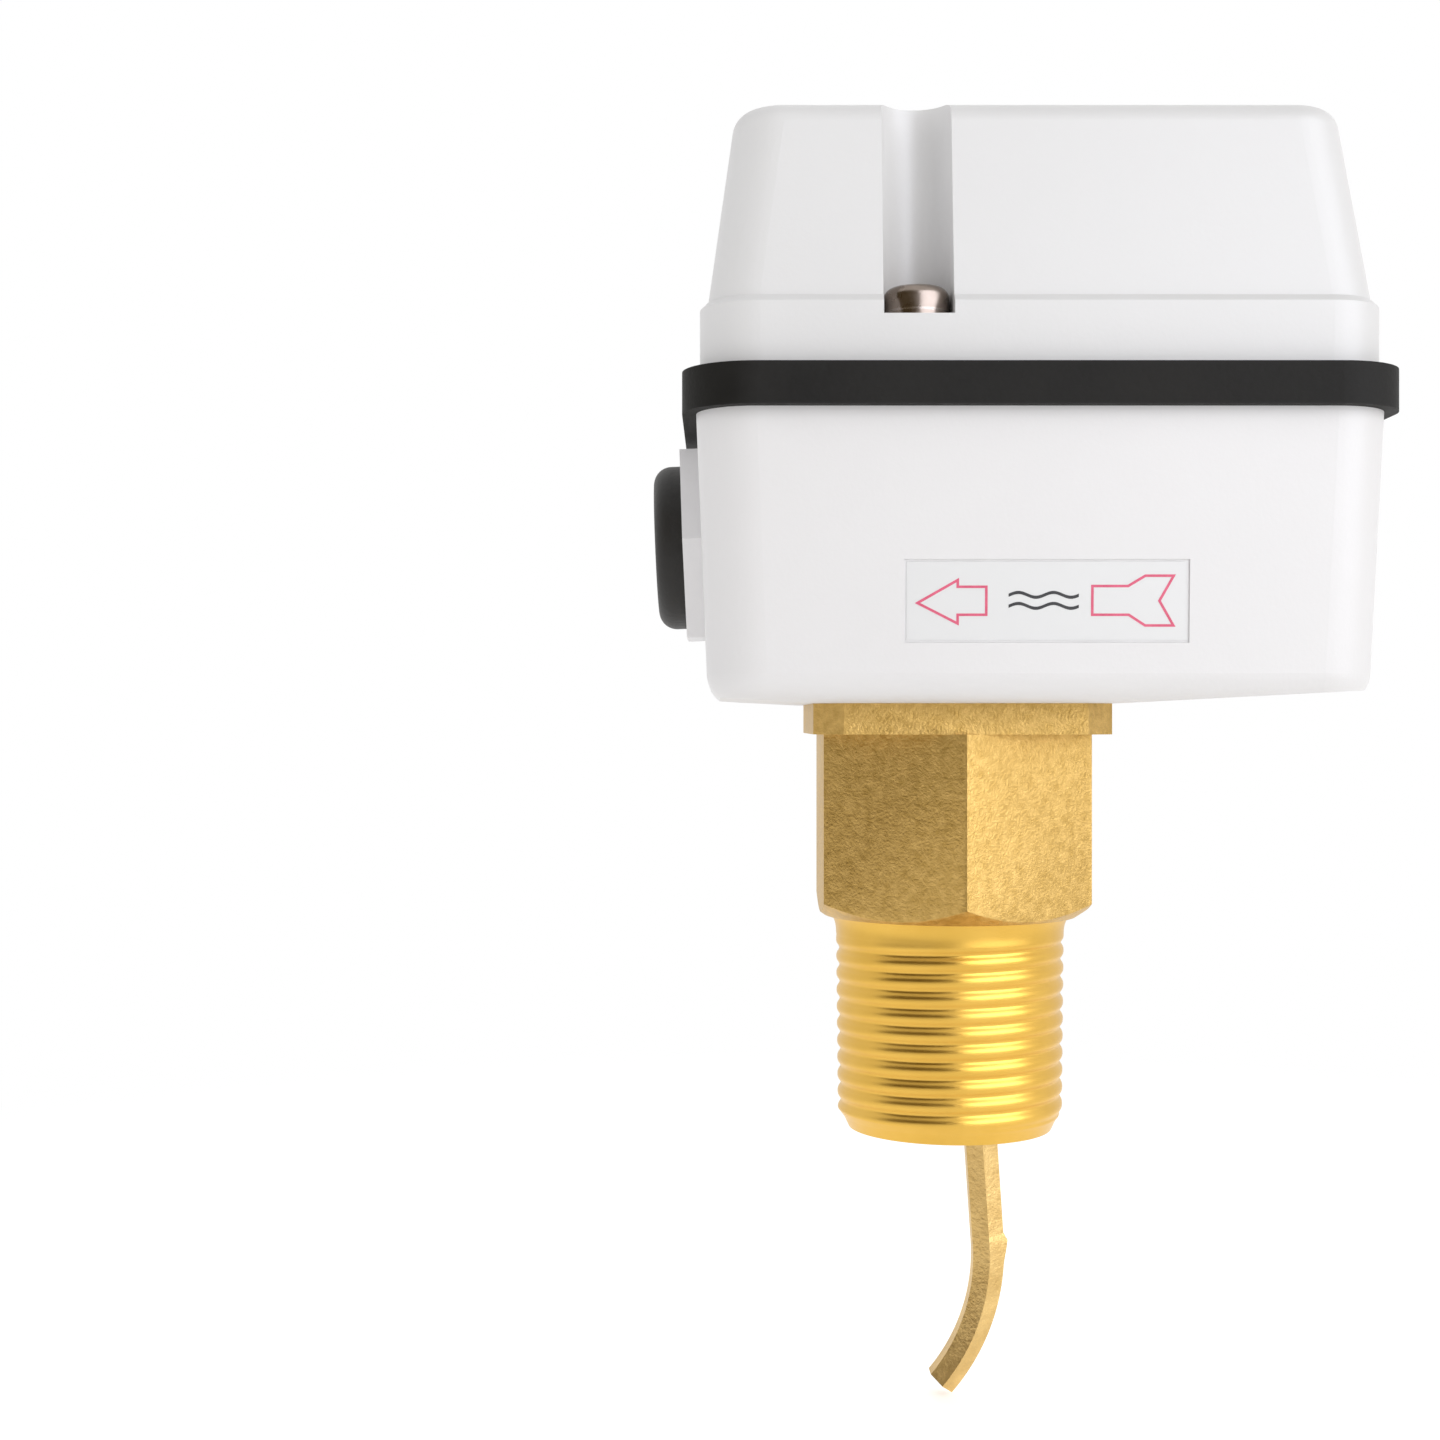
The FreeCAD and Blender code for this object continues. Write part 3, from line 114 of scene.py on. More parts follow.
world = bpy.data.worlds.new("white_room")
bpy.context.scene.world = world
world.use_nodes = True
tree = world.node_tree
tree.nodes.clear()
soft = add_node(tree, "Background", Color=(1.0, 0.995, 0.99, 1), Strength=SKY_LEVEL)
plain = add_node(tree, "Background", Color=WHITE, Strength=1.0)
chosen = add_node(tree, "MixShader")
tree.links.new(seen_directly(tree), chosen.inputs[0])
tree.links.new(soft.outputs[0], chosen.inputs[1])
tree.links.new(plain.outputs[0], chosen.inputs[2])
room = add_node(tree, "OutputWorld")
tree.links.new(chosen.outputs[0], room.inputs[0])


def add_lamp(name, place, target, width, height, power):
    """A rectangular soft lamp that faces a point."""
    data = bpy.data.lights.new(name, "AREA")
    data.shape = "RECTANGLE"
    data.size, data.size_y, data.energy = width, height, power
    lamp = bpy.data.objects.new(name, data)
    lamp.location = place
    lamp.rotation_euler = (Vector(target) - Vector(place)).to_track_quat("-Z", "Y").to_euler()
    lamp.visible_camera = False
    bpy.context.collection.objects.link(lamp)
    return lamp


AIM = (0.0, 0.0, 0.02)
key_lamp = add_lamp("key_lamp", (0.72, -0.82, 0.34), AIM, 1.1, 1.0, 7.2)
left_lamp = add_lamp("left_lamp", (-0.95, -0.35, 0.30), AIM, 0.5, 0.9, 2.4)
rear_lamp = add_lamp("rear_lamp", (0.15, 0.92, 0.95), AIM, 1.0, 1.0, 6.5)
for lamp in (key_lamp, left_lamp, rear_lamp):
    lamp.visible_glossy = False

floor_mesh = bmesh.new()
bmesh.ops.create_grid(floor_mesh, x_segments=2, y_segments=2, size=FLOOR_HALF)
bmesh.ops.translate(floor_mesh, verts=floor_mesh.verts, vec=(0, 0, cad_box[0].z - FLOOR_GAP))
floor_data = bpy.data.meshes.new("floor")
floor_mesh.to_mesh(floor_data)
floor_mesh.free()
floor = bpy.data.objects.new("floor", floor_data)
bpy.context.collection.objects.link(floor)
paper = bpy.data.materials.new("white_paper")
paper.use_nodes = True
tree = paper.node_tree
tree.nodes.clear()
matt = add_node(tree, "BsdfDiffuse", Color=(0.82, 0.82, 0.81, 1))
glow = add_node(tree, "Emission", Color=WHITE)
brighter = add_node(tree, "Math", operation="MULTIPLY_ADD")
brighter.inputs[1].default_value, brighter.inputs[2].default_value = FLOOR_GLOW_SEEN, FLOOR_GLOW
tree.links.new(seen_directly(tree), brighter.inputs[0])
tree.links.new(brighter.outputs[0], glow.inputs["Strength"])
lit = add_node(tree, "AddShader")
tree.links.new(matt.outputs[0], lit.inputs[0])
tree.links.new(glow.outputs[0], lit.inputs[1])
far_white = add_node(tree, "Emission", Color=WHITE, Strength=1.0)
spot = add_node(tree, "TexCoord")
middle = add_node(tree, "VectorMath", operation="LENGTH")
tree.links.new(spot.outputs["Object"], middle.inputs[0])
fade = add_node(tree, "MapRange", interpolation_type="SMOOTHSTEP")
fade.inputs["From Min"].default_value = FADE_FROM
fade.inputs["From Max"].default_value = FADE_TO
tree.links.new(middle.outputs["Value"], fade.inputs["Value"])
near_or_far = add_node(tree, "Math", operation="MULTIPLY")
tree.links.new(fade.outputs[0], near_or_far.inputs[0])
tree.links.new(seen_directly(tree), near_or_far.inputs[1])
chosen = add_node(tree, "MixShader")
tree.links.new(near_or_far.outputs[0], chosen.inputs[0])
tree.links.new(lit.outputs[0], chosen.inputs[1])
tree.links.new(far_white.outputs[0], chosen.inputs[2])
surface = add_node(tree, "OutputMaterial")
tree.links.new(chosen.outputs[0], surface.inputs[0])
floor_data.materials.append(paper)


def add_card(name, place, width, height, colour):
    """A flat card that only shows in polished metal."""
    mesh = bmesh.new()
    bmesh.ops.create_grid(mesh, x_segments=1, y_segments=1, size=0.5)
    bmesh.ops.scale(mesh, verts=mesh.verts, vec=(width, height, 1))
    turn = (Vector(AIM) - Vector(place)).to_track_quat("Z", "Y").to_matrix().to_4x4()
    bmesh.ops.transform(mesh, matrix=Matrix.Translation(place) @ turn, verts=mesh.verts)
    data = bpy.data.meshes.new(name)
    mesh.to_mesh(data)
    mesh.free()
    card = bpy.data.objects.new(name, data)
    bpy.context.collection.objects.link(card)
    finish = bpy.data.materials.new(name)
    finish.use_nodes = True
    finish.node_tree.nodes.clear()
    glow = add_node(finish.node_tree, "Emission", Color=(*colour, 1), Strength=1.0)
    out = add_node(finish.node_tree, "OutputMaterial")
    finish.node_tree.links.new(glow.outputs[0], out.inputs[0])
    data.materials.append(finish)
    card.visible_camera = card.visible_diffuse = card.visible_shadow = False
    card.visible_transmission = False
    return card


DARK_CARD, BRIGHT_CARD = (0.125, 0.085, 0.030), (3.7, 3.8, 4.2)
add_card("front_card", (-0.75, -1.05, 0.10), 2.5, 2.4, DARK_CARD)
add_card("right_card", (0.85, -0.97, 0.30), 1.55, 1.6, BRIGHT_CARD)

# Housing base. An injection-moulded box in light grey-white plastic, drafted to release from
# its mould, with rounded edges, a satin skin and a recess in front for the label.
SMOOTH_ANGLE = math.radians(32)


def new_group(name, inputs, outputs):
    """An empty node group with named number inputs and named outputs."""
    group = bpy.data.node_groups.new(name, "ShaderNodeTree")
    for label, given in inputs.items():
        socket = group.interface.new_socket(label, in_out="INPUT", socket_type="NodeSocketFloat")
        socket.default_value = given
    for label in outputs:
        group.interface.new_socket(label, in_out="OUTPUT", socket_type="NodeSocketFloat")
    return group, group.nodes.new("NodeGroupInput"), group.nodes.new("NodeGroupOutput")


# Two sizes of soft noise: a patchy tone and a fine skin.
mottle, given, result = new_group("mottle", {"Patch": 40.0, "Skin": 900.0, "Contrast": 1.0},
                                  ["Tone", "Height"])
spot = add_node(mottle, "TexCoord")
patches = add_node(mottle, "TexNoise", Detail=3.0, Roughness=0.55)
skin = add_node(mottle, "TexNoise", Detail=4.0, Roughness=0.6)
for texture, label in ((patches, "Patch"), (skin, "Skin")):
    mottle.links.new(spot.outputs["Object"], texture.inputs["Vector"])
    mottle.links.new(given.outputs[label], texture.inputs["Scale"])
centred = add_node(mottle, "Math", operation="SUBTRACT")
centred.inputs[1].default_value = 0.5
mottle.links.new(patches.outputs["Fac"], centred.inputs[0])
stronger = add_node(mottle, "Math", operation="MULTIPLY_ADD", use_clamp=True)
stronger.inputs[2].default_value = 0.5
mottle.links.new(centred.outputs[0], stronger.inputs[0])
mottle.links.new(given.outputs["Contrast"], stronger.inputs[1])
mottle.links.new(stronger.outputs[0], result.inputs["Tone"])
mottle.links.new(skin.outputs["Fac"], result.inputs["Height"])

# How near a point is to an edge of the piece, from the rounded normal: the mask for a painted
# highlight that lightens edges.
painted_edge_highlight, given, result = new_group("painted_edge_highlight", {"Gain": 3.0}, ["Mask"])
rounded = add_node(painted_edge_highlight, "Bevel", samples=4)
rounded.inputs["Radius"].default_value = 0.0004
flat = add_node(painted_edge_highlight, "NewGeometry")
agree = add_node(painted_edge_highlight, "VectorMath", operation="DOT_PRODUCT")
painted_edge_highlight.links.new(rounded.outputs[0], agree.inputs[0])
painted_edge_highlight.links.new(flat.outputs["Normal"], agree.inputs[1])
away = add_node(painted_edge_highlight, "Math", operation="SUBTRACT")
away.inputs[0].default_value = 1.0
painted_edge_highlight.links.new(agree.outputs["Value"], away.inputs[1])
gained = add_node(painted_edge_highlight, "Math", operation="MULTIPLY", use_clamp=True)
painted_edge_highlight.links.new(away.outputs[0], gained.inputs[0])
painted_edge_highlight.links.new(given.outputs["Gain"], gained.inputs[1])
painted_edge_highlight.links.new(gained.outputs[0], result.inputs["Mask"])


def place_group(tree, group, **settings):
    """Puts a node group into a material with its own values."""
    node = tree.nodes.new("ShaderNodeGroup")
    node.node_tree = group
    for name, given in settings.items():
        node.inputs[name].default_value = given
    return node


def blend_values(tree, factor, start, end):
    """A value that runs from start to end as factor runs from 0 to 1."""
    node = add_node(tree, "MapRange")
    node.inputs["To Min"].default_value = start
    node.inputs["To Max"].default_value = end
    tree.links.new(factor, node.inputs["Value"])
    return node.outputs[0]


def blend_colours(tree, factor, start, end):
    """A colour that runs from start to end; start may be another node's colour."""
    node = add_node(tree, "Mix", data_type="RGBA")
    tree.links.new(factor, node.inputs[0])
    for socket, colour in ((node.inputs[6], start), (node.inputs[7], end)):
        if hasattr(colour, "is_output"):
            tree.links.new(colour, socket)
        else:
            socket.default_value = (*colour, 1)
    return node.outputs[2]


def finish_of(name, dark, light, rough, patch, skin, relief, contrast=2.0, edges=None, **constants):
    """A finish whose tone and roughness drift in patches over a fine raised skin; given edges, it
    lightens the piece's edges as a painted highlight.
    """
    finish = bpy.data.materials.new(name)
    finish.use_nodes = True
    tree = finish.node_tree
    shader = tree.nodes["Principled BSDF"]
    for label, given in constants.items():
        shader.inputs[label.replace("_", " ")].default_value = given
    grain = place_group(tree, mottle, Patch=patch, Skin=skin, Contrast=contrast)
    colour = blend_colours(tree, grain.outputs["Tone"], dark, light)
    # A paler colour towards the piece's edges is a painted highlight.
    if edges:
        highlight_mask = place_group(tree, painted_edge_highlight, Gain=edges[1])
        colour = blend_colours(tree, highlight_mask.outputs["Mask"], colour, edges[0])
    tree.links.new(colour, shader.inputs["Base Color"])
    tree.links.new(blend_values(tree, grain.outputs["Tone"], *rough), shader.inputs["Roughness"])
    bump = add_node(tree, "Bump", Strength=relief[0], Distance=relief[1])
    tree.links.new(grain.outputs["Height"], bump.inputs["Height"])
    tree.links.new(bump.outputs[0], shader.inputs["Normal"])
    finish.diffuse_color = (*light, 1)
    return finish


def dress(finish, *names):
    """Gives CAD nodes a finish; curved faces keep the smooth normals they come with."""
    for name in names:
        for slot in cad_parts[name].material_slots:
            slot.material = finish


satin_plastic = finish_of("satin_plastic", (0.740, 0.728, 0.734), (0.768, 0.757, 0.763),
                          rough=(0.36, 0.46), patch=18.0, skin=1500.0, relief=(0.10, 0.0002),
                          Specular_IOR_Level=0.42)
dress(satin_plastic, "base_housing")

# Cover. The same plastic: a plain band above the gasket and a drafted top with a channel at the
# front and one at the rear for its two screws. It lifts off straight upwards.
# This copy of the plastic is a little darker than the base's: painted shade.
shaded_cover_plastic = finish_of("shaded_cover_plastic", (0.698, 0.692, 0.695), (0.726, 0.720, 0.723),
                          rough=(0.36, 0.46), patch=18.0, skin=1500.0, relief=(0.10, 0.0002),
                          Specular_IOR_Level=0.42)
dress(shaded_cover_plastic, "top_cover")

# Cover screws. Nickel-plated pan heads with a cross recess, on thin washers, running into
# turned brass inserts in the base.
# The edges of these parts are painted paler than the plating: a painted highlight.
nickel = finish_of("nickel", (0.22, 0.180, 0.150), (0.33, 0.275, 0.235),
                   rough=(0.22, 0.34), patch=260.0, skin=2400.0, relief=(0.12, 0.0001),
                   edges=((0.66, 0.60, 0.55), 2.0), Metallic=1.0)
dress(nickel, "cover_screws", "cover_screw_washers", "flange_screws", "bracket_screws",
      "terminal_screws", "microswitch_screws", "earth_screw", "pivot_pin", "leaf_pin",
      "striker_screw", "range_screw")
insert_brass = finish_of("insert_brass", (0.62, 0.40, 0.11), (0.76, 0.52, 0.17),
                         rough=(0.24, 0.34), patch=200.0, skin=1500.0, relief=(0.10, 0.0001),
                         Metallic=1.0)
dress(insert_brass, "thread_inserts", "rocker_nut", "striker_lock_nut", "spring_seat", "range_nut",
      "switch_terminals")

# Gasket. A moulded black rubber frame that stands proud of both shells all the way round,
# with a dull skin; its edges are painted paler, a painted highlight.
black_rubber = finish_of("black_rubber", (0.008, 0.0075, 0.0065), (0.016, 0.015, 0.0135),
                         rough=(0.55, 0.72), patch=90.0, skin=1300.0, relief=(0.35, 0.0002),
                         edges=((0.030, 0.028, 0.026), 1.2), Specular_IOR_Level=0.16)
dress(black_rubber, "cover_gasket", "flange_seal")

# Label. A glossy printed film, glued into the recess: a red outline of an arrow's head and tail
# towards the inlet side, and two short black waves between them for the flow.
BASE_DRAFT = math.radians(2.3)
PRINT_THICK = 0.00003
RED_LINE = 0.00034
label_film = finish_of("label_film", (0.722, 0.722, 0.727), (0.742, 0.742, 0.747),
                       rough=(0.33, 0.36), patch=25.0, skin=700.0, relief=(0.05, 0.0001),
                       Specular_IOR_Level=0.5)
dress(label_film, "flow_label")
red_ink = finish_of("red_ink", (0.62, 0.075, 0.155), (0.74, 0.115, 0.215),
                    rough=(0.35, 0.45), patch=900.0, skin=3000.0, relief=(0.05, 0.00005))
black_ink = finish_of("black_ink", (0.012, 0.012, 0.013), (0.03, 0.03, 0.032),
                      rough=(0.35, 0.45), patch=900.0, skin=3000.0, relief=(0.05, 0.00005))
label_low, label_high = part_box("flow_label")
label_middle = (label_low + label_high) / 2
face_y = label_low.y + (label_high.z - label_middle.z) * math.tan(BASE_DRAFT)
on_label = (Matrix.Translation((label_middle.x, face_y, label_middle.z))
            @ Matrix.Rotation(math.radians(90) + BASE_DRAFT, 4, "X"))


def add_piece(name, mesh, finish, body, smooth=SMOOTH_ANGLE):
    """Turns a bmesh into a named piece that rides on a body of the frame."""
    bmesh.ops.recalc_face_normals(mesh, faces=mesh.faces)
    data = bpy.data.meshes.new(name)
    mesh.to_mesh(data)
    mesh.free()
    data.materials.append(finish)
    data.shade_smooth()
    data.set_sharp_from_angle(angle=smooth)
    piece = bpy.data.objects.new(name, data)
    bpy.context.collection.objects.link(piece)
    if body:
        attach(piece, body)
    return piece


def print_outline(name, corners):
    """A closed printed line of even width along corners given in millimetres."""
    mesh = bmesh.new()
    rim = [mesh.verts.new((x / 1000, y / 1000, 0)) for x, y in corners]
    face = mesh.faces.new(rim)
    mesh.normal_update()
    bmesh.ops.inset_region(mesh, faces=[face], thickness=RED_LINE, use_even_offset=True,
                           use_boundary=True)
    bmesh.ops.delete(mesh, geom=[face], context="FACES_ONLY")
    raised = bmesh.ops.extrude_face_region(mesh, geom=list(mesh.faces))
    lifted = [item for item in raised["geom"] if isinstance(item, bmesh.types.BMVert)]
    bmesh.ops.translate(mesh, verts=lifted, vec=(0, 0, PRINT_THICK))
    bmesh.ops.transform(mesh, matrix=on_label, verts=mesh.verts)
    return add_piece(name, mesh, red_ink, "root")


HEAD_CORNERS = [(-17.3, -0.3), (-11.5, -3.25), (-11.5, -2.0), (-7.75, -2.0), (-7.75, 2.0),
                (-11.5, 2.0), (-11.5, 3.0)]
TAIL_CORNERS = [(5.8, -2.0), (10.7, -2.0), (12.85, -3.4), (16.9, -3.4), (14.95, 0.0), (16.9, 3.45),
                (12.85, 3.45), (10.6, 2.1), (5.8, 2.1)]
print_outline("arrow_head_print", HEAD_CORNERS)
print_outline("arrow_tail_print", TAIL_CORNERS)

# The edge of the film: a pale bead of adhesive that fills the gap round it.
GLUE_WIDE, GLUE_DEPTH, GLUE_SUNK = 0.00028, 0.00025, 0.00008
half_wide = (label_high.x - label_low.x) / 2 + GLUE_WIDE
half_high = (label_high.z - label_low.z) / 2 / math.cos(BASE_DRAFT) + GLUE_WIDE
mesh = bmesh.new()
rim = [mesh.verts.new((x * half_wide, y * half_high, -GLUE_SUNK))
       for x, y in ((-1, -1), (1, -1), (1, 1), (-1, 1))]
face = mesh.faces.new(rim)
mesh.normal_update()
bmesh.ops.inset_region(mesh, faces=[face], thickness=GLUE_WIDE, use_even_offset=True,
                       use_boundary=True)
bmesh.ops.delete(mesh, geom=[face], context="FACES_ONLY")
raised = bmesh.ops.extrude_face_region(mesh, geom=list(mesh.faces))
lowered = [item for item in raised["geom"] if isinstance(item, bmesh.types.BMVert)]
bmesh.ops.translate(mesh, verts=lowered, vec=(0, 0, -GLUE_DEPTH))
bmesh.ops.transform(mesh, matrix=on_label, verts=mesh.verts)
pale_glue = finish_of("pale_glue", (0.74, 0.73, 0.74), (0.80, 0.79, 0.80),
                      rough=(0.35, 0.45), patch=300.0, skin=1500.0, relief=(0.05, 0.0001))
add_piece("label_edge", mesh, pale_glue, "root")

WAVE_WIDE, WAVE_LINE, WAVE_STEPS = 0.0092, 0.00042, 36
WAVE_RISE, WAVE_OUT, WAVE_APART = 0.00011, 0.0004, 0.00072
for place, rise in enumerate((-WAVE_APART, WAVE_APART)):
    mesh = bmesh.new()
    start = [mesh.verts.new((-WAVE_WIDE / 2 - WAVE_OUT, rise + side * WAVE_LINE, 0))
             for side in (-0.5, 0.5)]
    strip = [mesh.edges.new(start)]
    for step in range(WAVE_STEPS):
        grown = bmesh.ops.extrude_edge_only(mesh, edges=strip)
        strip = [item for item in grown["geom"] if isinstance(item, bmesh.types.BMEdge)]
        tips = [item for item in grown["geom"] if isinstance(item, bmesh.types.BMVert)]
        angle = step / WAVE_STEPS * 4 * math.pi
        bmesh.ops.translate(mesh, verts=tips,
                            vec=(WAVE_WIDE / WAVE_STEPS, WAVE_RISE * math.cos(angle), 0))
    raised = bmesh.ops.extrude_face_region(mesh, geom=list(mesh.faces))
    lifted = [item for item in raised["geom"] if isinstance(item, bmesh.types.BMVert)]
    bmesh.ops.translate(mesh, verts=lifted, vec=(0, 0, PRINT_THICK))
    bmesh.ops.transform(mesh, matrix=on_label, verts=mesh.verts)
    add_piece("wave_print_%d" % (place + 1), mesh, black_ink, "root")

# Cable entry. A white nylon body with a hexagonal flange, held by a lock nut inside the wall,
# and a domed rubber grommet in its mouth.
# The nylon's edges are painted paler: a painted highlight.
nylon = finish_of("nylon", (0.79, 0.78, 0.79), (0.84, 0.83, 0.84),
                  rough=(0.40, 0.52), patch=50.0, skin=1200.0, relief=(0.12, 0.0002),
                  edges=((0.86, 0.85, 0.85), 1.0), Specular_IOR_Level=0.4)
dress(nylon, "gland_body", "gland_locknut")
# The grommet's edges are painted paler: a painted highlight.
grey_rubber = finish_of("grey_rubber", (0.020, 0.019, 0.018), (0.034, 0.032, 0.030),
                        rough=(0.42, 0.56), patch=90.0, skin=1300.0, relief=(0.25, 0.0002),
                        edges=((0.060, 0.057, 0.054), 1.2), Specular_IOR_Level=0.25)
dress(grey_rubber, "cable_grommet")

# Brass body. One hot-forged blank: the hexagon and the seat flange keep the rough forged skin,
# and the shank is turned, with a pipe thread cut on it below a flared collar.
THREAD_RADIUS, THREAD_PITCH, THREAD_DEPTH = 0.01662, 0.00248, 0.00046
THREAD_START, THREAD_RUNOUT = -0.0027, 0.0012
THREAD_END, LEAD_RADIUS, BORE_RADIUS = -0.0296, 0.0148, 0.0090
COLLAR_FLARE, COLLAR_CURVE, THREAD_TAPER = 0.00075, 2.5, 0.010
GROOVE_SHARPNESS, LEAD_LENGTH, LEAD_SLOPE = 1.6, 0.0012, 0.75
THREAD_RINGS, THREAD_SIDES = 150, 144
BEVEL_WIDTH = 0.00035

forged_brass = finish_of("forged_brass", (0.46, 0.285, 0.075), (0.69, 0.455, 0.150),
                         rough=(0.36, 0.46), patch=800.0, skin=2400.0, relief=(0.40, 0.0003),
                         contrast=1.9, Metallic=1.0)
turned_brass = finish_of("turned_brass", (0.70, 0.42, 0.075), (0.77, 0.48, 0.100),
                         rough=(0.30, 0.37), patch=120.0, skin=2600.0, relief=(0.06, 0.0001),
                         Metallic=1.0)

body_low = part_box("brass_body")[0]
mesh = bmesh.new()
mesh.from_mesh(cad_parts["brass_body"].data)
bmesh.ops.remove_doubles(mesh, verts=mesh.verts, dist=1e-6)
bmesh.ops.dissolve_limit(mesh, angle_limit=math.radians(0.5), verts=mesh.verts, edges=mesh.edges)
everything = list(mesh.verts) + list(mesh.edges) + list(mesh.faces)
bmesh.ops.bisect_plane(mesh, geom=everything, plane_co=(0, 0, 1e-5), plane_no=(0, 0, 1),
                       clear_inner=True)
open_rim = [edge for edge in mesh.edges if edge.is_boundary]
bmesh.ops.bridge_loops(mesh, edges=open_rim)
forging = add_piece("brass_forging", mesh, forged_brass, "root", smooth=math.radians(25))
rounding = forging.modifiers.new("forged_edges", "BEVEL")
rounding.width, rounding.segments, rounding.limit_method = BEVEL_WIDTH, 2, "ANGLE"
rounding.angle_limit = math.radians(28)
rounding.harden_normals = False
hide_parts("brass_body")

mesh = bmesh.new()
rim = [(BORE_RADIUS, 0.0), (THREAD_RADIUS, 0.0)]
for ring in range(1, THREAD_RINGS + 1):
    rim.append((THREAD_RADIUS, THREAD_END * ring / THREAD_RINGS))
rim += [(LEAD_RADIUS, body_low.z), (BORE_RADIUS, body_low.z)]
line = [mesh.verts.new((radius, 0, height)) for radius, height in rim]
chain = [mesh.edges.new((line[place], line[(place + 1) % len(line)])) for place in range(len(line))]
bmesh.ops.spin(mesh, geom=line + chain, cent=(0, 0, 0), axis=(0, 0, 1), angle=2 * math.pi,
               steps=THREAD_SIDES, use_merge=True)
bmesh.ops.remove_doubles(mesh, verts=mesh.verts, dist=1e-7)
for vertex in mesh.verts:
    radius, height = vertex.co.xy.length, vertex.co.z
    if radius < THREAD_RADIUS - 1e-5:
        continue
    if height > THREAD_START:
        flare = COLLAR_FLARE * (1 - height / THREAD_START) ** COLLAR_CURVE
        vertex.co.xy *= (THREAD_RADIUS + flare) / radius
        continue
    turn = math.atan2(vertex.co.y, vertex.co.x) / (2 * math.pi)
    phase = (height / THREAD_PITCH - turn) % 1.0
    groove = (0.5 - 0.5 * math.cos(2 * math.pi * phase)) ** GROOVE_SHARPNESS
    fade_in = min(1.0, (THREAD_START - height) / THREAD_RUNOUT)
    lead = max(0.0, (THREAD_END + LEAD_LENGTH - height)) * LEAD_SLOPE
    cut = max(THREAD_DEPTH * groove * fade_in, lead) + THREAD_TAPER * (THREAD_START - height)
    vertex.co.xy *= (THREAD_RADIUS - cut) / radius
thread = add_piece("pipe_thread", mesh, turned_brass, "root", smooth=math.radians(40))
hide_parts("brass_body")

# Lever. A cast brass bar with a hexagonal shank, a bump where the shank ends and a curved
# tongue that the water pushes. It turns on a steel pin through the neck.
cast_brass = finish_of("cast_brass", (0.53, 0.345, 0.120), (0.77, 0.545, 0.225),
                       rough=(0.36, 0.46), patch=260.0, skin=1500.0, relief=(0.40, 0.0004),
                       contrast=1.6, Metallic=1.0)

PIVOT_HEIGHT, LEAN = 0.036, math.radians(-3.8)
BAR_CUT, BAR_JOIN, BAR_LENGTH = -0.0765, -0.0825, -0.084
BEND_RADIUS, BEND_ANGLE, BEND_RINGS = 0.029, math.radians(44.3), 26
TONGUE_WIDER, TIP_THINNER, BUMP_RISE, BUMP_FALL, BUMP_HIGH = 1.12, 0.88, 0.0011, 0.0032, 0.00055
JOIN_RINGS, BUMP_SIDE = 4, 0.001
at_pivot = Matrix.Translation((0, 0, PIVOT_HEIGHT)) @ Matrix.Rotation(LEAN, 4, "Y")


def carry_on(mesh, rim, move, wider, thinner=1.0):
    """Extrudes an open rim, moves its new end and widens it across the bar."""
    grown = bmesh.ops.extrude_edge_only(mesh, edges=rim)
    ends = [item for item in grown["geom"] if isinstance(item, bmesh.types.BMVert)]
    middle = sum((vertex.co for vertex in ends), Vector()) / len(ends)
    bmesh.ops.scale(mesh, verts=ends, vec=(thinner, wider, thinner),
                    space=Matrix.Translation(-middle))
    bmesh.ops.transform(mesh, matrix=move, verts=ends)
    return [item for item in grown["geom"] if isinstance(item, bmesh.types.BMEdge)]


mesh = bmesh.new()
mesh.from_mesh(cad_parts["paddle_lever"].data)
bmesh.ops.transform(mesh, matrix=at_pivot.inverted(), verts=mesh.verts)
bmesh.ops.remove_doubles(mesh, verts=mesh.verts, dist=1e-6)
bmesh.ops.dissolve_limit(mesh, angle_limit=math.radians(0.5), verts=mesh.verts, edges=mesh.edges)
everything = list(mesh.verts) + list(mesh.edges) + list(mesh.faces)
bmesh.ops.bisect_plane(mesh, geom=everything, plane_co=(0, 0, BAR_CUT), plane_no=(0, 0, -1),
                       clear_outer=True)
rim = [edge for edge in mesh.edges if edge.is_boundary]
rim = carry_on(mesh, rim, Matrix.Translation((0, 0, BAR_JOIN - BAR_CUT)), 1.0)
for step in range(JOIN_RINGS):
    rim = carry_on(mesh, rim, Matrix.Translation((0, 0, (BAR_LENGTH - BAR_JOIN) / JOIN_RINGS)), 1.0)
wider, thinner = TONGUE_WIDER ** (1 / BEND_RINGS), TIP_THINNER ** (1 / BEND_RINGS)
turning = (Matrix.Translation((-BEND_RADIUS, 0, BAR_LENGTH))
           @ Matrix.Rotation(BEND_ANGLE / BEND_RINGS, 4, "Y")
           @ Matrix.Translation((BEND_RADIUS, 0, -BAR_LENGTH)))
for step in range(BEND_RINGS):
    rim = carry_on(mesh, rim, turning, wider, thinner)
bmesh.ops.contextual_create(mesh, geom=rim)
for vertex in mesh.verts:
    above = vertex.co.z - BAR_LENGTH
    if vertex.co.x > BUMP_SIDE and -BUMP_FALL < above < BUMP_RISE:
        share = 1 - above / BUMP_RISE if above > 0 else 1 + above / BUMP_FALL
        vertex.co.x += BUMP_HIGH * share
bmesh.ops.transform(mesh, matrix=at_pivot, verts=mesh.verts)
bar = add_piece("lever_bar", mesh, cast_brass, "lever", smooth=math.radians(25))
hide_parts("paddle_lever")

# Bellows. A thin corrugated brass sleeve soldered to the neck and to a cap on the lever. It
# flexes as the lever swings and keeps the water out of the housing.
thin_brass = finish_of("thin_brass", (0.66, 0.42, 0.13), (0.82, 0.57, 0.20),
                       rough=(0.20, 0.30), patch=150.0, skin=1800.0, relief=(0.10, 0.0001),
                       Metallic=1.0)
dress(thin_brass, "bellows_cap")


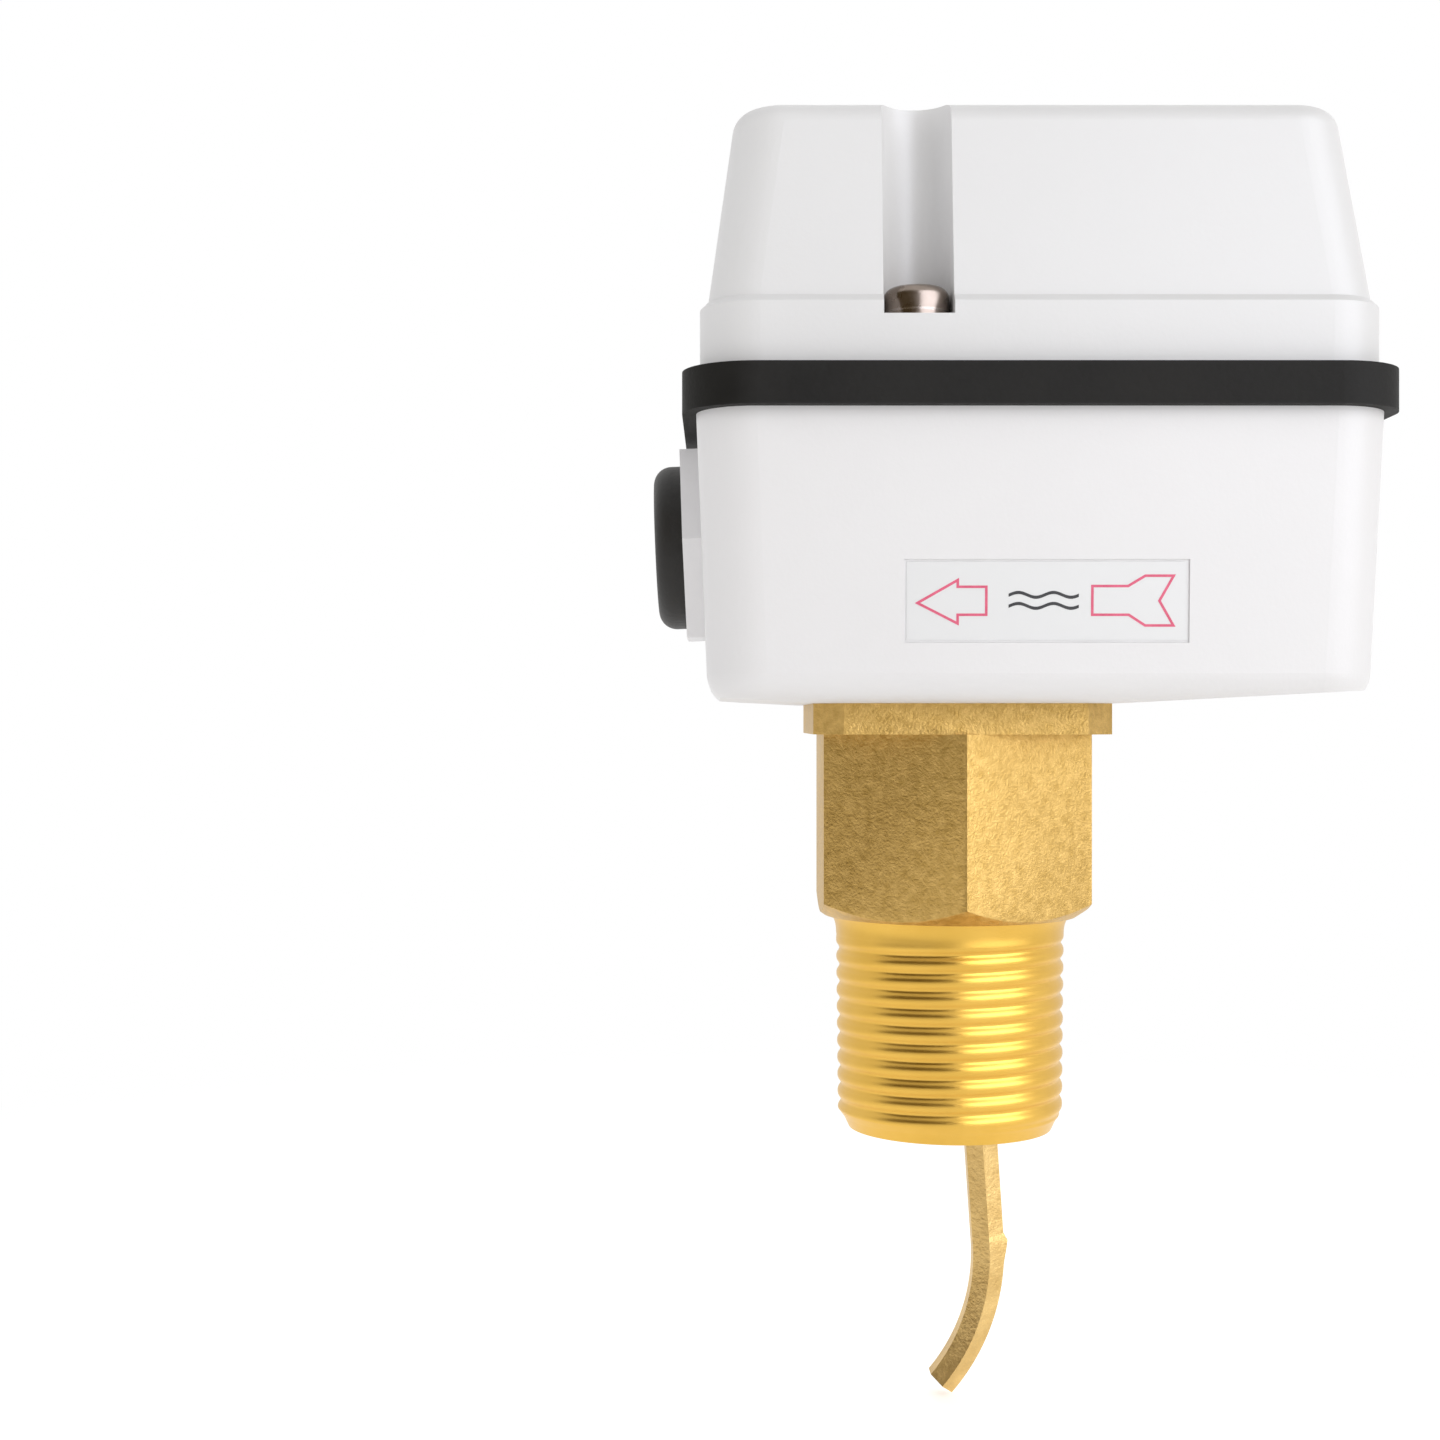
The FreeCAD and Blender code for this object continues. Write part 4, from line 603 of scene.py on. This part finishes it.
def flexing_copy(name, node, finish, start, cut_off=None):
    """A copy of a CAD node, or of one side of it, that takes the node's place with no body."""
    mesh = bmesh.new()
    mesh.from_mesh(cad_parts[node].data)
    bmesh.ops.remove_doubles(mesh, verts=mesh.verts, dist=1e-6)
    if cut_off:
        everything = list(mesh.verts) + list(mesh.edges) + list(mesh.faces)
        bmesh.ops.bisect_plane(mesh, geom=everything, plane_co=start, plane_no=cut_off,
                               clear_outer=True)
        bmesh.ops.holes_fill(mesh, edges=[edge for edge in mesh.edges if edge.is_boundary], sides=0)
    piece = add_piece(name, mesh, finish, None)
    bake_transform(piece)
    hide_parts(node)


STIFF_END = 0.001
sleeve_low, sleeve_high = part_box("bellows")
flexing_copy("bellows_sleeve", "bellows", thin_brass,
             (0, 0, sleeve_low.z + STIFF_END))

# Rocker, bracket, leaf and range spring. The bracket and the rocker are bent and punched from
# zinc-plated strip. The leaf and the coil spring that loads the rocker are bare spring steel.
# The strip's edges are painted paler: a painted highlight.
zinc_strip = finish_of("zinc_strip", (0.52, 0.53, 0.53), (0.68, 0.68, 0.66),
                       rough=(0.30, 0.44), patch=90.0, skin=1400.0, relief=(0.15, 0.0001),
                       edges=((0.80, 0.80, 0.80), 1.6), Metallic=1.0)
dress(zinc_strip, "switch_bracket", "rocker_arm")
spring_steel = finish_of("spring_steel", (0.40, 0.39, 0.38), (0.56, 0.55, 0.53),
                         rough=(0.22, 0.32), patch=140.0, skin=1800.0, relief=(0.10, 0.0001),
                         Metallic=1.0)
dress(spring_steel, "switch_leaf")
spring_low, spring_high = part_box("range_spring")
spring_x = (spring_low.x + spring_high.x) / 2
spring_middle = (spring_x, 0, (spring_low.z + spring_high.z) / 2)
flexing_copy("range_coil_lower", "range_spring", spring_steel, spring_middle,
             cut_off=(0, 0, 1))
flexing_copy("range_coil_upper", "range_spring", spring_steel, spring_middle,
             cut_off=(0, 0, -1))

# Snap switch. A black phenolic case screwed to the bracket, with a red plunger under the leaf.
# The case's edges are painted paler: a painted highlight.
phenolic = finish_of("phenolic", (0.014, 0.013, 0.013), (0.030, 0.028, 0.027),
                     rough=(0.34, 0.50), patch=120.0, skin=1600.0, relief=(0.20, 0.0002),
                     edges=((0.07, 0.065, 0.06), 1.2))
dress(phenolic, "microswitch_case")
red_nylon = finish_of("red_nylon", (0.42, 0.020, 0.016), (0.56, 0.035, 0.026),
                      rough=(0.28, 0.38), patch=200.0, skin=1500.0, relief=(0.10, 0.0001))
dress(red_nylon, "switch_plunger")
